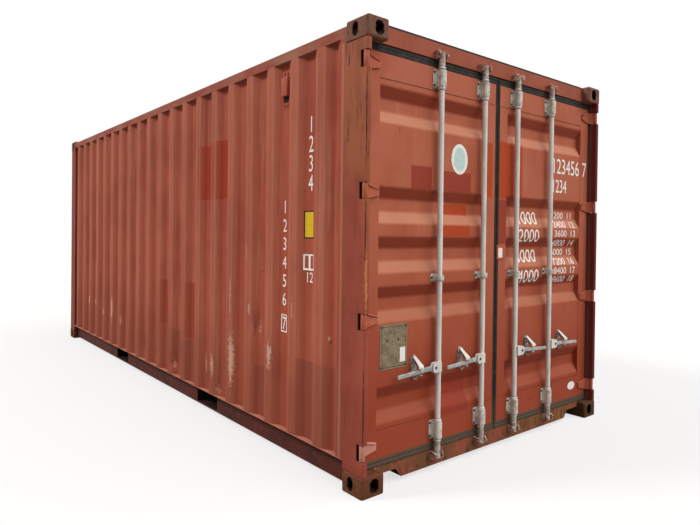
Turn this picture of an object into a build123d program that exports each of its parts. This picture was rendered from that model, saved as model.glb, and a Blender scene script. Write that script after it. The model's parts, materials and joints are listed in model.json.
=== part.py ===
from build123d import *
import os

os.makedirs("parts", exist_ok=True)

# A twenty-foot dry-freight container. X runs along its length with the doors at +X,
# Y runs across it, Z points up, and the origin is the middle of its underside. Millimetres.

# Overall size
LENGTH = 6058
WIDTH = 2438
HEIGHT = 2591

# Corner castings: hollow blocks with a locking aperture and two hand holes
CASTING_LENGTH = 178
CASTING_WIDTH = 162
CASTING_HEIGHT = 118
CASTING_BASE = 28
CASTING_WALL = 16
CASTING_PROUD = 5
APERTURE_LENGTH = 124
APERTURE_WIDTH = 63.5
APERTURE_FROM_END = 102.5
APERTURE_FROM_SIDE = 89.5
HAND_HOLE_HEIGHT = 79
SIDE_HOLE_WIDTH = 51
END_HOLE_WIDTH = 63.5
HAND_HOLE_CORNER = 17

# Corner posts of folded plate
POST_SHEET = 6
REAR_POST_FACE = 34
REAR_POST_STEP = 15
REAR_POST_TAIL = 56
FRONT_POST_WIDTH = 54

# Bottom structure
UNDERSIDE = 18
BOTTOM_RAIL_SHEET = 5
BOTTOM_RAIL_LEDGE = 49
BOTTOM_RAIL_FOOT = 30
FLOOR_RISE = 2
CROSS_HEIGHT = 117
CROSS_WIDTH = 45
CROSS_SHEET = 4
CROSS_PITCH = 300
POCKET_WIDTH = 360
POCKET_SPACING = 2080
POCKET_BASE = 6
POCKET_STRAP = 200
FLOOR_THICKNESS = 28
FLOOR_SEAM = 3
FLOOR_PANELS = 5

# Top structure
ROOF_DROP = 25
TOP_RAIL = 60
TOP_RAIL_SHEET = 4
ROOF_LAP = 40
ROOF_SHEET = 2
ROOF_RIB_RISE = 17
ROOF_RIB_PITCH = 209
ROOF_RIB_WIDTH = 125
ROOF_RIB_MARGIN = 90
ROOF_RIB_TAPER = 45

# Trapezoid waves of the side walls
WALL_SHEET = 2
WAVE_DEPTH = 36
WAVE_PITCH = 279.4
WAVE_CREST = 72
WAVE_SLOPE = 68
WAVE_END_FLAT = 15

# Deeper, steeper waves of the front wall
FRONT_DEPTH = 45.6
FRONT_PITCH = 250
FRONT_CREST = 110
FRONT_SLOPE = 18

# Ventilator covers, each in a valley of a side wall
VENT_HEIGHT = 205
VENT_TOP_DROP = 76
VENT_BACK = 66
VENT_FRONT = 96
VENT_DEPTH = 24
VENT_LIP = 10
VENT_SHEET = 2

# Door frame
FRAME_SHEET = 5
DOOR_RECESS = 69
DOOR_DEPTH = 50
DOOR_EDGE_GAP = 10
DOOR_HEAD_GAP = 43
DOOR_FOOT_GAP = 48
SEAM_HALF = 25
LEDGE_GAP = 10
FRAME_PROUD = 5
LEDGE_DEPTH = 35
HEADER_LEDGE = 33
HEADER_RAISE = 7
HEADER_UPSTAND = 23
SILL_LEDGE = 47
SILL_BOTTOM = 25
SILL_NOTCH_WIDTH = 190
SILL_NOTCH_HEIGHT = 55
SILL_NOTCH_SLOPE = 45

# Door leaf
STILE_OUTER = 109
STILE_INNER = 82
DOOR_TOP_RAIL = 140
DOOR_BOTTOM_RAIL = 162
STILE_SHEET = 3
PANEL_SET = 2
PANEL_SHEET = 2
GROOVE_DEPTH = 36
GROOVE_FROM_TOP = 279
GROOVE_FROM_BOTTOM = 293
GROOVE_STEPS = (-3, -1, 0, 1, 3)
GROOVE_FLOOR = 72
GROOVE_SLOPE = 67
GASKET_BACK = 12
GASKET_FRONT = 1
SEAL_CLEAR = 5
SEAM_CLEAR = 4

# Hinges: a pin between two lugs in a notch of the rear post
HINGE_FROM_END = 27
HINGE_FROM_SIDE = 22
HINGE_FROM_BOTTOM = 79
HINGE_FROM_TOP = 70
HINGE_COUNT = 4
HINGE_NOTCH_DEPTH = 57
HINGE_NOTCH_HEIGHT = 90
HINGE_LUG = 10
PIN_RADIUS = 10
PIN_CLEAR = 0.4
KNUCKLE_RADIUS = 16
KNUCKLE_END_GAP = 2
BLADE_REACH = 130
BLADE_SHEET = 10
BLADE_END_TAPER = 22

# Locking bars
BAR_PLACES = (("outer", 594), ("inner", 179))
BAR_FROM_END = 36
BAR_RADIUS = 17
BAR_CLEAR = 0.6
COLLAR_RADIUS = 23
COLLAR_HEIGHT = 12
COLLAR_GAP = 0.5
BRACKET_HEIGHT = 113
STRAP_HEIGHT = 48
BRACKET_HALF = 46
BRACKET_PLATE = 6
BRACKET_CORNER = 10
CROWN_WALL = 7
CROWN_FOOT = 33
CROWN_EDGE = 10
CROWN_END = 8

# Cams on the bars and their keepers
CAM_HEIGHT = 33
CAM_CORE = 19
CAM_REACH = 25
CAM_LOBE = 20
CAM_NOSE = 12
HEADER_CAM_FROM_TOP = 107
SILL_CAM_BASE = 77
KEEPER_HEIGHT = 46
KEEPER_PLATE = 4
KEEPER_CHEEK = 10
KEEPER_CLEAR = 5
KEEPER_SETBACK = 9
KEEPER_FLARE = 6
KEEPER_JAW = 13

# Handles, hubs and retainers
HANDLE_LEVEL = 632
HANDLE_END_GAP = 60
HANDLE_SHEET = 12
HANDLE_OFFSET = 16
HANDLE_ROOT = 28
HANDLE_TIP = 22
HANDLE_TIP_CORNER = 6
HANDLE_DROOP = 18
HANDLE_START = 34
HUB_REACH = 72
HUB_HEIGHT = 60
HUB_CHEEK = 7
HUB_GAP = 0.5
HUB_ROOT = 28
HUB_CORNER = 12
RETAINER_AT = 180
RETAINER_WIDTH = 44
RETAINER_ABOVE = 84
RETAINER_BELOW = 48
RETAINER_PLATE = 6
REST_SHEET = 7
REST_GAP = 1.5
CATCH_WIDTH = 20
CATCH_DROP = 26
CATCH_CLEAR = 6
CATCH_NOSE = 10

# Plates on the doors
DATA_PLATE_HEIGHT = 253
DATA_PLATE_LEVEL = 657
DATA_PLATE_INSET = 21
DATA_PLATE_GAP = 31
DATA_PLATE_SHEET = 2
OVERLAP_HEIGHT = 98
OVERLAP_LEVEL = 1262
OVERLAP_REACH = 72
OVERLAP_SHEET = 6

# Planes that follow from the sizes
half_l = LENGTH / 2
half_w = WIDTH / 2
casting_x = half_l - CASTING_LENGTH
casting_y = half_w - CASTING_WIDTH
end_plane = half_l - CASTING_PROUD
side_plane = half_w - CASTING_PROUD
post_bottom = CASTING_HEIGHT
post_top = HEIGHT - CASTING_HEIGHT
door_face = half_l - DOOR_RECESS
door_back = door_face - DOOR_DEPTH
panel_face = door_face - PANEL_SET
ledge_x = door_back - LEDGE_GAP
post_inner = side_plane - REAR_POST_FACE
ledge_y = post_inner - REAR_POST_STEP
front_post_inner = side_plane - FRONT_POST_WIDTH
web_outer = side_plane - BOTTOM_RAIL_LEDGE
web_inner = web_outer - BOTTOM_RAIL_SHEET
cross_bottom = UNDERSIDE + BOTTOM_RAIL_SHEET
floor_bottom = cross_bottom + CROSS_HEIGHT
floor_top = floor_bottom + FLOOR_THICKNESS
rail_top = floor_top + FLOOR_RISE
roof_level = HEIGHT - ROOF_DROP
top_rail_bottom = roof_level - TOP_RAIL
valley_plane = side_plane - WAVE_DEPTH
frame_face = door_face + FRAME_PROUD
frame_back = ledge_x - LEDGE_DEPTH
front_rail_back = -end_plane + TOP_RAIL
door_top = post_top - DOOR_HEAD_GAP
door_bottom = post_bottom + DOOR_FOOT_GAP
door_edge = post_inner - DOOR_EDGE_GAP
panel_outer = door_edge - STILE_OUTER
panel_inner = SEAM_HALF + STILE_INNER
groove_top = door_top - GROOVE_FROM_TOP
groove_bottom = door_bottom + GROOVE_FROM_BOTTOM
groove_pitch = (groove_top - groove_bottom) / (GROOVE_STEPS[-1] - GROOVE_STEPS[0])
groove_levels = [groove_bottom + (step - GROOVE_STEPS[0]) * groove_pitch for step in GROOVE_STEPS]
hinge_x = half_l - HINGE_FROM_END
hinge_y = half_w - HINGE_FROM_SIDE
hinge_first = door_bottom + HINGE_FROM_BOTTOM
hinge_pitch = (door_top - HINGE_FROM_TOP - hinge_first) / (HINGE_COUNT - 1)
hinge_levels = [hinge_first + step * hinge_pitch for step in range(HINGE_COUNT)]
bar_x = half_l - BAR_FROM_END
corners = [(sx, sy) for sx in (-1, 1) for sy in (-1, 1)]
SIDES = (("left", -1), ("right", 1))


# Corner castings: each has its locking aperture in the outer face and a hand hole in side and end
aperture_x = half_l - APERTURE_FROM_END
aperture_y = half_w - APERTURE_FROM_SIDE
casting_middle_x = half_l - CASTING_LENGTH / 2
casting_middle_y = half_w - CASTING_WIDTH / 2
cavity_height = CASTING_HEIGHT - CASTING_BASE - CASTING_WALL
for name, level, aperture_level, cavity_bottom in (
    ("bottom_corner_castings", 0, 0, CASTING_BASE),
    ("top_corner_castings", post_top, HEIGHT, post_top + CASTING_WALL),
):
    middle = level + CASTING_HEIGHT / 2
    with BuildPart() as castings:
        with Locations(*[(sx * casting_middle_x, sy * casting_middle_y, middle) for sx, sy in corners]):
            Box(CASTING_LENGTH, CASTING_WIDTH, CASTING_HEIGHT)
        cavity_middle = cavity_bottom + cavity_height / 2
        cavities = [(sx * casting_middle_x, sy * casting_middle_y, cavity_middle) for sx, sy in corners]
        with Locations(*cavities):
            Box(
                CASTING_LENGTH - 2 * CASTING_WALL,
                CASTING_WIDTH - 2 * CASTING_WALL,
                cavity_height,
                mode=Mode.SUBTRACT,
            )
        with BuildSketch(Plane.XY.offset(aperture_level)):
            with Locations(*[(sx * aperture_x, sy * aperture_y) for sx, sy in corners]):
                SlotOverall(APERTURE_LENGTH, APERTURE_WIDTH)
        extrude(amount=CASTING_BASE, both=True, mode=Mode.SUBTRACT)
        for side in (-1, 1):
            with BuildSketch(Plane.XZ.offset(side * half_w)) as side_holes:
                with Locations((-aperture_x, middle), (aperture_x, middle)):
                    Rectangle(SIDE_HOLE_WIDTH, HAND_HOLE_HEIGHT)
                chamfer(side_holes.vertices(), HAND_HOLE_CORNER)
            extrude(amount=CASTING_WALL, both=True, mode=Mode.SUBTRACT)
            with BuildSketch(Plane.YZ.offset(side * half_l)) as end_holes:
                with Locations((-aperture_y, middle), (aperture_y, middle)):
                    Rectangle(END_HOLE_WIDTH, HAND_HOLE_HEIGHT)
                chamfer(end_holes.vertices(), HAND_HOLE_CORNER)
            extrude(amount=CASTING_WALL, both=True, mode=Mode.SUBTRACT)
    castings.part.label = name
    export_step(castings.part, f"parts/{name}.step")

# Rear posts: a hollow stepped section, a tail that laps the side wall, and four hinge notches
with BuildPart() as rear_posts:
    for _, side in SIDES:
        with BuildSketch(Plane.XY.offset(post_bottom)):
            with BuildLine():
                Polyline(
                    (casting_x, side * side_plane),
                    (end_plane, side * side_plane),
                    (end_plane, side * post_inner),
                    (ledge_x, side * post_inner),
                    (ledge_x, side * ledge_y),
                    (casting_x, side * ledge_y),
                    close=True,
                )
            make_face()
            offset(amount=-POST_SHEET, kind=Kind.INTERSECTION, mode=Mode.SUBTRACT)
        extrude(amount=post_top - post_bottom)
        with BuildSketch(Plane.XY.offset(rail_top)):
            with Locations((casting_x - REAR_POST_TAIL / 2, side * (side_plane - POST_SHEET / 2))):
                Rectangle(REAR_POST_TAIL, POST_SHEET)
        extrude(amount=top_rail_bottom - rail_top)
        with Locations(
            *[
                (
                    half_l - HINGE_NOTCH_DEPTH / 2,
                    side * (half_w + post_inner) / 2,
                    level,
                )
                for level in hinge_levels
            ]
        ):
            Box(HINGE_NOTCH_DEPTH, half_w - post_inner, HINGE_NOTCH_HEIGHT, mode=Mode.SUBTRACT)
rear_posts.part.label = "rear_posts"
export_step(rear_posts.part, "parts/rear_posts.step")

# Front posts: plain hollow sections
with BuildPart() as front_posts:
    with BuildSketch(Plane.XY.offset(post_bottom)):
        for _, side in SIDES:
            with Locations((-(casting_x + end_plane) / 2, side * (side_plane + front_post_inner) / 2)):
                Rectangle(end_plane - casting_x, FRONT_POST_WIDTH)
                Rectangle(
                    end_plane - casting_x - 2 * POST_SHEET,
                    FRONT_POST_WIDTH - 2 * POST_SHEET,
                    mode=Mode.SUBTRACT,
                )
    extrude(amount=post_top - post_bottom)
front_posts.part.label = "front_posts"
export_step(front_posts.part, "parts/front_posts.step")

# Bottom side rails: a web set in under the wall, an outward ledge on top and an inward foot,
# with two mouths for the fork pockets
pocket_floor = cross_bottom + POCKET_BASE
pocket_roof = floor_bottom - CROSS_SHEET
with BuildPart() as bottom_side_rails:
    for _, side in SIDES:
        with BuildSketch(Plane.YZ.offset(-casting_x)):
            with BuildLine():
                Polyline(
                    (side * side_plane, rail_top),
                    (side * web_inner, rail_top),
                    (side * web_inner, cross_bottom),
                    (side * (web_outer - BOTTOM_RAIL_FOOT), cross_bottom),
                    (side * (web_outer - BOTTOM_RAIL_FOOT), UNDERSIDE),
                    (side * web_outer, UNDERSIDE),
                    (side * web_outer, rail_top - BOTTOM_RAIL_SHEET),
                    (side * side_plane, rail_top - BOTTOM_RAIL_SHEET),
                    close=True,
                )
            make_face()
        extrude(amount=2 * casting_x)
    with Locations(
        (-POCKET_SPACING / 2, 0, (pocket_floor + pocket_roof) / 2),
        (POCKET_SPACING / 2, 0, (pocket_floor + pocket_roof) / 2),
    ):
        Box(POCKET_WIDTH, WIDTH, pocket_roof - pocket_floor, mode=Mode.SUBTRACT)
bottom_side_rails.part.label = "bottom_side_rails"
export_step(bottom_side_rails.part, "parts/bottom_side_rails.step")

# Cross members: open channels between the side rails, left out where the fork pockets pass
pocket_reach = POCKET_WIDTH / 2 + CROSS_SHEET + CROSS_WIDTH
cross_steps = int(casting_x / CROSS_PITCH)
cross_places = [
    step * CROSS_PITCH
    for step in range(-cross_steps, cross_steps + 1)
    if abs(abs(step * CROSS_PITCH) - POCKET_SPACING / 2) > pocket_reach
]
with BuildPart() as cross_members:
    with BuildSketch(Plane.XZ.offset(-web_inner)):
        with Locations(*[(place, (cross_bottom + floor_bottom) / 2) for place in cross_places]):
            Rectangle(CROSS_WIDTH, CROSS_HEIGHT)
        with Locations(*[(place + CROSS_SHEET, (cross_bottom + floor_bottom) / 2) for place in cross_places]):
            Rectangle(CROSS_WIDTH, CROSS_HEIGHT - 2 * CROSS_SHEET, mode=Mode.SUBTRACT)
    extrude(amount=2 * web_inner)
cross_members.part.label = "cross_members"
export_step(cross_members.part, "parts/cross_members.step")

# Fork pockets: tunnels through the base, with a bottom strap only near each mouth
with BuildPart() as fork_pockets:
    with BuildSketch(Plane.XZ.offset(-web_inner)):
        with Locations((-POCKET_SPACING / 2, 0), (POCKET_SPACING / 2, 0)):
            with Locations((0, (cross_bottom + floor_bottom) / 2)):
                Rectangle(POCKET_WIDTH + 2 * CROSS_SHEET, CROSS_HEIGHT)
            with Locations((0, (pocket_floor + pocket_roof) / 2)):
                Rectangle(POCKET_WIDTH, pocket_roof - pocket_floor, mode=Mode.SUBTRACT)
    extrude(amount=2 * web_inner)
    with Locations(
        (-POCKET_SPACING / 2, 0, cross_bottom + POCKET_BASE / 2),
        (POCKET_SPACING / 2, 0, cross_bottom + POCKET_BASE / 2),
    ):
        Box(POCKET_WIDTH, 2 * (web_inner - POCKET_STRAP), POCKET_BASE, mode=Mode.SUBTRACT)
fork_pockets.part.label = "fork_pockets"
export_step(fork_pockets.part, "parts/fork_pockets.step")

# Front bottom rail: a box between the front castings that widens above them to the posts
with BuildPart() as front_bottom_rail:
    with BuildSketch(Plane.XY.offset(UNDERSIDE)):
        with Locations(((front_rail_back - end_plane) / 2, 0)):
            Rectangle(TOP_RAIL, 2 * casting_y)
    extrude(amount=rail_top - UNDERSIDE)
    with BuildSketch(Plane.XY.offset(post_bottom)):
        with Locations(((front_rail_back - end_plane) / 2, 0)):
            Rectangle(TOP_RAIL, 2 * front_post_inner)
    extrude(amount=rail_top - post_bottom)
    with BuildSketch(Plane.XY.offset(UNDERSIDE)):
        with Locations(((front_rail_back - end_plane) / 2, 0)):
            Rectangle(TOP_RAIL - 2 * FRAME_SHEET, 2 * (casting_y - FRAME_SHEET))
    extrude(amount=rail_top - FRAME_SHEET - UNDERSIDE, mode=Mode.SUBTRACT)
front_bottom_rail.part.label = "front_bottom_rail"
export_step(front_bottom_rail.part, "parts/front_bottom_rail.step")

# Front top rail: a tube between the top castings with a plate that runs back under the roof
with BuildPart() as front_top_rail:
    with BuildSketch(Plane.XZ.offset(-casting_y)):
        with BuildLine():
            Polyline(
                (-end_plane, post_top),
                (-end_plane, roof_level),
                (-casting_x + ROOF_LAP, roof_level),
                (-casting_x + ROOF_LAP, roof_level - TOP_RAIL_SHEET),
                (front_rail_back, roof_level - TOP_RAIL_SHEET),
                (front_rail_back, post_top),
                close=True,
            )
        make_face()
        with BuildLine():
            Polyline(
                (-end_plane + TOP_RAIL_SHEET, post_top + TOP_RAIL_SHEET),
                (-end_plane + TOP_RAIL_SHEET, roof_level - TOP_RAIL_SHEET),
                (front_rail_back - TOP_RAIL_SHEET, roof_level - TOP_RAIL_SHEET),
                (front_rail_back - TOP_RAIL_SHEET, post_top + TOP_RAIL_SHEET),
                close=True,
            )
        make_face(mode=Mode.SUBTRACT)
    extrude(amount=2 * casting_y)
front_top_rail.part.label = "front_top_rail"
export_step(front_top_rail.part, "parts/front_top_rail.step")

# Top side rails: square tubes
with BuildPart() as top_side_rails:
    with BuildSketch(Plane.YZ.offset(-casting_x)):
        for _, side in SIDES:
            with Locations((side * (side_plane - TOP_RAIL / 2), (roof_level + top_rail_bottom) / 2)):
                Rectangle(TOP_RAIL, TOP_RAIL)
                Rectangle(TOP_RAIL - 2 * TOP_RAIL_SHEET, TOP_RAIL - 2 * TOP_RAIL_SHEET, mode=Mode.SUBTRACT)
    extrude(amount=2 * casting_x)
top_side_rails.part.label = "top_side_rails"
export_step(top_side_rails.part, "parts/top_side_rails.step")

# Door header: a box between the top castings with an upstand above the roof, a ledge behind the doors and a
# plate under the roof
with BuildPart() as door_header:
    with BuildSketch(Plane.XZ.offset(-casting_y)):
        with BuildLine():
            Polyline(
                (frame_face, post_top + HEADER_RAISE),
                (frame_face, roof_level + HEADER_UPSTAND),
                (frame_face - FRAME_SHEET, roof_level + HEADER_UPSTAND),
                (frame_face - FRAME_SHEET, roof_level),
                (casting_x - ROOF_LAP, roof_level),
                (casting_x - ROOF_LAP, roof_level - TOP_RAIL_SHEET),
                (frame_back, roof_level - TOP_RAIL_SHEET),
                (frame_back, post_top),
                (ledge_x, post_top),
                (ledge_x, post_top + HEADER_RAISE),
                close=True,
            )
        make_face()
        with BuildLine():
            Polyline(
                (frame_face - FRAME_SHEET, post_top + HEADER_RAISE + FRAME_SHEET),
                (frame_face - FRAME_SHEET, roof_level - FRAME_SHEET),
                (frame_back + FRAME_SHEET, roof_level - FRAME_SHEET),
                (frame_back + FRAME_SHEET, post_top + HEADER_RAISE + FRAME_SHEET),
                close=True,
            )
        make_face(mode=Mode.SUBTRACT)
    extrude(amount=2 * casting_y)
    with BuildSketch(Plane.XY.offset(post_top)):
        with Locations(((frame_back + ledge_x) / 2, 0)):
            Rectangle(LEDGE_DEPTH, 2 * ledge_y)
    extrude(amount=-HEADER_LEDGE)
door_header.part.label = "door_header"
export_step(door_header.part, "parts/door_header.step")

# Door sill: a box between the bottom castings, notched at both ends, with a ledge behind the doors
with BuildPart() as door_sill:
    with BuildSketch(Plane.XZ.offset(-casting_y)):
        with Locations(((frame_face + frame_back) / 2, (SILL_BOTTOM + post_bottom) / 2)):
            Rectangle(frame_face - frame_back, post_bottom - SILL_BOTTOM)
            Rectangle(
                frame_face - frame_back - 2 * FRAME_SHEET,
                post_bottom - SILL_BOTTOM - 2 * FRAME_SHEET,
                mode=Mode.SUBTRACT,
            )
    extrude(amount=2 * casting_y)
    with BuildSketch(Plane.XY.offset(post_bottom)):
        with Locations(((frame_back + ledge_x) / 2, 0)):
            Rectangle(LEDGE_DEPTH, 2 * ledge_y)
    extrude(amount=SILL_LEDGE)
    with BuildSketch(Plane.YZ.offset(frame_back)):
        for _, side in SIDES:
            with BuildLine():
                Polyline(
                    (side * casting_y, SILL_BOTTOM),
                    (side * casting_y, SILL_BOTTOM + SILL_NOTCH_HEIGHT),
                    (side * (casting_y - SILL_NOTCH_WIDTH + SILL_NOTCH_SLOPE), SILL_BOTTOM + SILL_NOTCH_HEIGHT),
                    (side * (casting_y - SILL_NOTCH_WIDTH), SILL_BOTTOM),
                    close=True,
                )
            make_face()
    extrude(amount=frame_face - frame_back, mode=Mode.SUBTRACT)
door_sill.part.label = "door_sill"
export_step(door_sill.part, "parts/door_sill.step")

# Floor: plywood panels in two rows on the cross members, with an open seam between panels
floor_front = front_rail_back + FLOOR_SEAM
floor_rear = frame_back - FLOOR_SEAM
panel_length = (floor_rear - floor_front + FLOOR_SEAM) / FLOOR_PANELS - FLOOR_SEAM
panel_width = web_inner - FLOOR_SEAM - FLOOR_SEAM / 2
with BuildPart() as floor_panels:
    with BuildSketch(Plane.XY.offset(floor_bottom)):
        with Locations(((floor_front + floor_rear) / 2, 0)):
            with GridLocations(panel_length + FLOOR_SEAM, panel_width + FLOOR_SEAM, FLOOR_PANELS, 2):
                Rectangle(panel_length, panel_width)
    extrude(amount=FLOOR_THICKNESS)
floor_panels.part.label = "floor_panels"
export_step(floor_panels.part, "parts/floor_panels.step")

# Front wall: steep waves across the width, between the front posts
front_waves = int((2 * front_post_inner - FRONT_CREST - 2 * FRONT_SLOPE) / FRONT_PITCH) + 1


def front_wave(crest):
    """The front wall's line in plan, from left to right, with its outer crests at x = crest."""
    valley = crest + FRONT_DEPTH
    line = [(valley, -front_post_inner)]
    for wave in range(front_waves):
        middle = (wave - (front_waves - 1) / 2) * FRONT_PITCH
        line.append((valley, middle - FRONT_CREST / 2 - FRONT_SLOPE))
        line.append((crest, middle - FRONT_CREST / 2))
        line.append((crest, middle + FRONT_CREST / 2))
        line.append((valley, middle + FRONT_CREST / 2 + FRONT_SLOPE))
    return line + [(valley, front_post_inner)]


with BuildPart() as front_wall:
    with BuildSketch(Plane.XY.offset(rail_top)):
        with BuildLine():
            Polyline(*front_wave(-end_plane), *reversed(front_wave(-end_plane + WALL_SHEET)), close=True)
        make_face()
    extrude(amount=post_top - rail_top)
front_wall.part.label = "front_wall"
export_step(front_wall.part, "parts/front_wall.step")

# Side walls: sheets pressed into trapezoid waves, welded between the rails and the posts
wall_front = -casting_x
wall_rear = casting_x - REAR_POST_TAIL
crest_inset = WAVE_SLOPE + WAVE_END_FLAT + WAVE_SLOPE + WAVE_CREST / 2
last_crest = wall_rear - crest_inset
wave_count = int((last_crest - wall_front - WAVE_CREST / 2 - WAVE_SLOPE) / WAVE_PITCH) + 1
first_crest = last_crest - (wave_count - 1) * WAVE_PITCH


def side_wave(crest, side):
    """A side wall's line in plan, from front to rear, with its outer crests at |y| = crest."""
    valley = crest - WAVE_DEPTH
    line = [(wall_front, side * valley)]
    for wave in range(wave_count):
        middle = first_crest + wave * WAVE_PITCH
        line.append((middle - WAVE_CREST / 2 - WAVE_SLOPE, side * valley))
        line.append((middle - WAVE_CREST / 2, side * crest))
        line.append((middle + WAVE_CREST / 2, side * crest))
        line.append((middle + WAVE_CREST / 2 + WAVE_SLOPE, side * valley))
    return line + [(wall_rear - WAVE_SLOPE, side * valley), (wall_rear, side * crest)]


for name, side in SIDES:
    with BuildPart() as side_wall:
        with BuildSketch(Plane.XY.offset(rail_top)):
            with BuildLine():
                Polyline(
                    *side_wave(side_plane, side),
                    *reversed(side_wave(side_plane - WALL_SHEET, side)),
                    close=True,
                )
            make_face()
        extrude(amount=top_rail_bottom - rail_top)
    side_wall.part.label = f"{name}_side_wall"
    export_step(side_wall.part, f"parts/{name}_side_wall.step")

# Roof: one sheet on the rails, with pressed ribs that are closed at both ends
rib_count = int((2 * casting_x - 2 * ROOF_RIB_MARGIN) / ROOF_RIB_PITCH)
with BuildPart() as roof_sheet:
    with BuildSketch(Plane.XY.offset(roof_level)):
        Rectangle(2 * casting_x, 2 * (side_plane - TOP_RAIL_SHEET))
    extrude(amount=ROOF_SHEET)
    with BuildSketch(Plane.XY.offset(roof_level + ROOF_SHEET)):
        with GridLocations(ROOF_RIB_PITCH, 1, rib_count, 1):
            Rectangle(ROOF_RIB_WIDTH, 2 * (side_plane - ROOF_RIB_MARGIN))
    extrude(amount=ROOF_RIB_RISE, taper=ROOF_RIB_TAPER)
    with BuildSketch(Plane.XY.offset(roof_level)):
        with GridLocations(ROOF_RIB_PITCH, 1, rib_count, 1):
            Rectangle(ROOF_RIB_WIDTH, 2 * (side_plane - ROOF_RIB_MARGIN))
    extrude(amount=ROOF_RIB_RISE, taper=ROOF_RIB_TAPER, mode=Mode.SUBTRACT)
roof_sheet.part.label = "roof_sheet"
export_step(roof_sheet.part, "parts/roof_sheet.step")

# Ventilators: pressed covers that widen outwards, open below, one near the rear on the left and one
# near the front on the right
vent_top = top_rail_bottom - VENT_TOP_DROP
vent_face = valley_plane + VENT_DEPTH
with BuildPart() as ventilators:
    for vent_x, side in ((last_crest - 1.5 * WAVE_PITCH, -1), (first_crest + 1.5 * WAVE_PITCH, 1)):
        with BuildSketch(Plane.XY.offset(vent_top)):
            with BuildLine():
                Polyline(
                    (vent_x - VENT_BACK / 2, side * valley_plane),
                    (vent_x - VENT_FRONT / 2, side * vent_face),
                    (vent_x + VENT_FRONT / 2, side * vent_face),
                    (vent_x + VENT_BACK / 2, side * valley_plane),
                    close=True,
                )
            make_face()
        extrude(amount=-VENT_HEIGHT)
        with BuildSketch(Plane.YZ.offset(vent_x)):
            with BuildLine():
                Polyline(
                    (side * vent_face, vent_top),
                    (side * vent_face, vent_top - VENT_LIP),
                    (side * (vent_face - VENT_LIP), vent_top),
                    close=True,
                )
            make_face()
        extrude(amount=VENT_FRONT, both=True, mode=Mode.SUBTRACT)
        with BuildSketch(Plane.XY.offset(vent_top - VENT_HEIGHT)):
            with BuildLine():
                Polyline(
                    (vent_x - VENT_BACK / 2 + VENT_SHEET, side * (valley_plane + VENT_SHEET)),
                    (vent_x - VENT_FRONT / 2 + 2 * VENT_SHEET, side * (vent_face - VENT_SHEET)),
                    (vent_x + VENT_FRONT / 2 - 2 * VENT_SHEET, side * (vent_face - VENT_SHEET)),
                    (vent_x + VENT_BACK / 2 - VENT_SHEET, side * (valley_plane + VENT_SHEET)),
                    close=True,
                )
            make_face()
        extrude(amount=VENT_HEIGHT - VENT_LIP - VENT_SHEET, mode=Mode.SUBTRACT)
ventilators.part.label = "ventilators"
export_step(ventilators.part, "parts/ventilators.step")

# Keepers: a back plate with two cheeks like jaws, open in front, that take the cams of the locking bars
cam_levels = {"header": HEIGHT - HEADER_CAM_FROM_TOP, "sill": SILL_CAM_BASE}
near_cheek = CAM_CORE + KEEPER_CLEAR
far_cheek = CAM_REACH + KEEPER_CLEAR
keeper_front = half_l - KEEPER_SETBACK
for place, cam_level in cam_levels.items():
    with BuildPart() as keepers:
        with BuildSketch(Plane.XY.offset(cam_level + CAM_HEIGHT / 2 - KEEPER_HEIGHT / 2)):
            for _, side in SIDES:
                for _, bar_y in BAR_PLACES:
                    with BuildLine():
                        Polyline(
                            (frame_face, side * (bar_y - near_cheek - KEEPER_CHEEK)),
                            (keeper_front, side * (bar_y - near_cheek - KEEPER_CHEEK)),
                            (keeper_front, side * (bar_y - near_cheek - KEEPER_FLARE)),
                            (keeper_front - KEEPER_FLARE, side * (bar_y - near_cheek)),
                            (frame_face + KEEPER_PLATE, side * (bar_y - near_cheek)),
                            (frame_face + KEEPER_PLATE, side * (bar_y + far_cheek)),
                            (keeper_front - KEEPER_FLARE, side * (bar_y + far_cheek)),
                            (keeper_front, side * (bar_y + far_cheek + KEEPER_FLARE)),
                            (keeper_front, side * (bar_y + far_cheek + KEEPER_CHEEK)),
                            (frame_face, side * (bar_y + far_cheek + KEEPER_CHEEK)),
                            close=True,
                        )
                    make_face()
        extrude(amount=KEEPER_HEIGHT)
        with BuildSketch(Plane.XZ):
            for end in (-1, 1):
                corner_level = cam_level + CAM_HEIGHT / 2 + end * KEEPER_HEIGHT / 2
                with BuildLine():
                    Polyline(
                        (keeper_front, corner_level),
                        (keeper_front - KEEPER_JAW, corner_level),
                        (keeper_front, corner_level - end * KEEPER_JAW),
                        close=True,
                    )
                make_face()
        extrude(amount=half_w, both=True, mode=Mode.SUBTRACT)
    keepers.part.label = f"{place}_keepers"
    export_step(keepers.part, f"parts/{place}_keepers.step")

# Hinge pins: each is welded between two lugs that close the post above and below its notch
lug_length = HINGE_NOTCH_DEPTH - CASTING_PROUD - POST_SHEET
lug_width = REAR_POST_FACE - 2 * POST_SHEET
with BuildPart() as hinge_pins:
    for _, side in SIDES:
        for level in hinge_levels:
            for lug_side in (-1, 1):
                with Locations(
                    (
                        half_l - HINGE_NOTCH_DEPTH + lug_length / 2,
                        side * (side_plane - REAR_POST_FACE / 2),
                        level + lug_side * (HINGE_NOTCH_HEIGHT + HINGE_LUG) / 2,
                    )
                ):
                    Box(lug_length, lug_width, HINGE_LUG)
            with Locations((hinge_x, side * hinge_y, level)):
                Cylinder(PIN_RADIUS, HINGE_NOTCH_HEIGHT + 2 * HINGE_LUG)
hinge_pins.part.label = "hinge_pins"
export_step(hinge_pins.part, "parts/hinge_pins.step")

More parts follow.
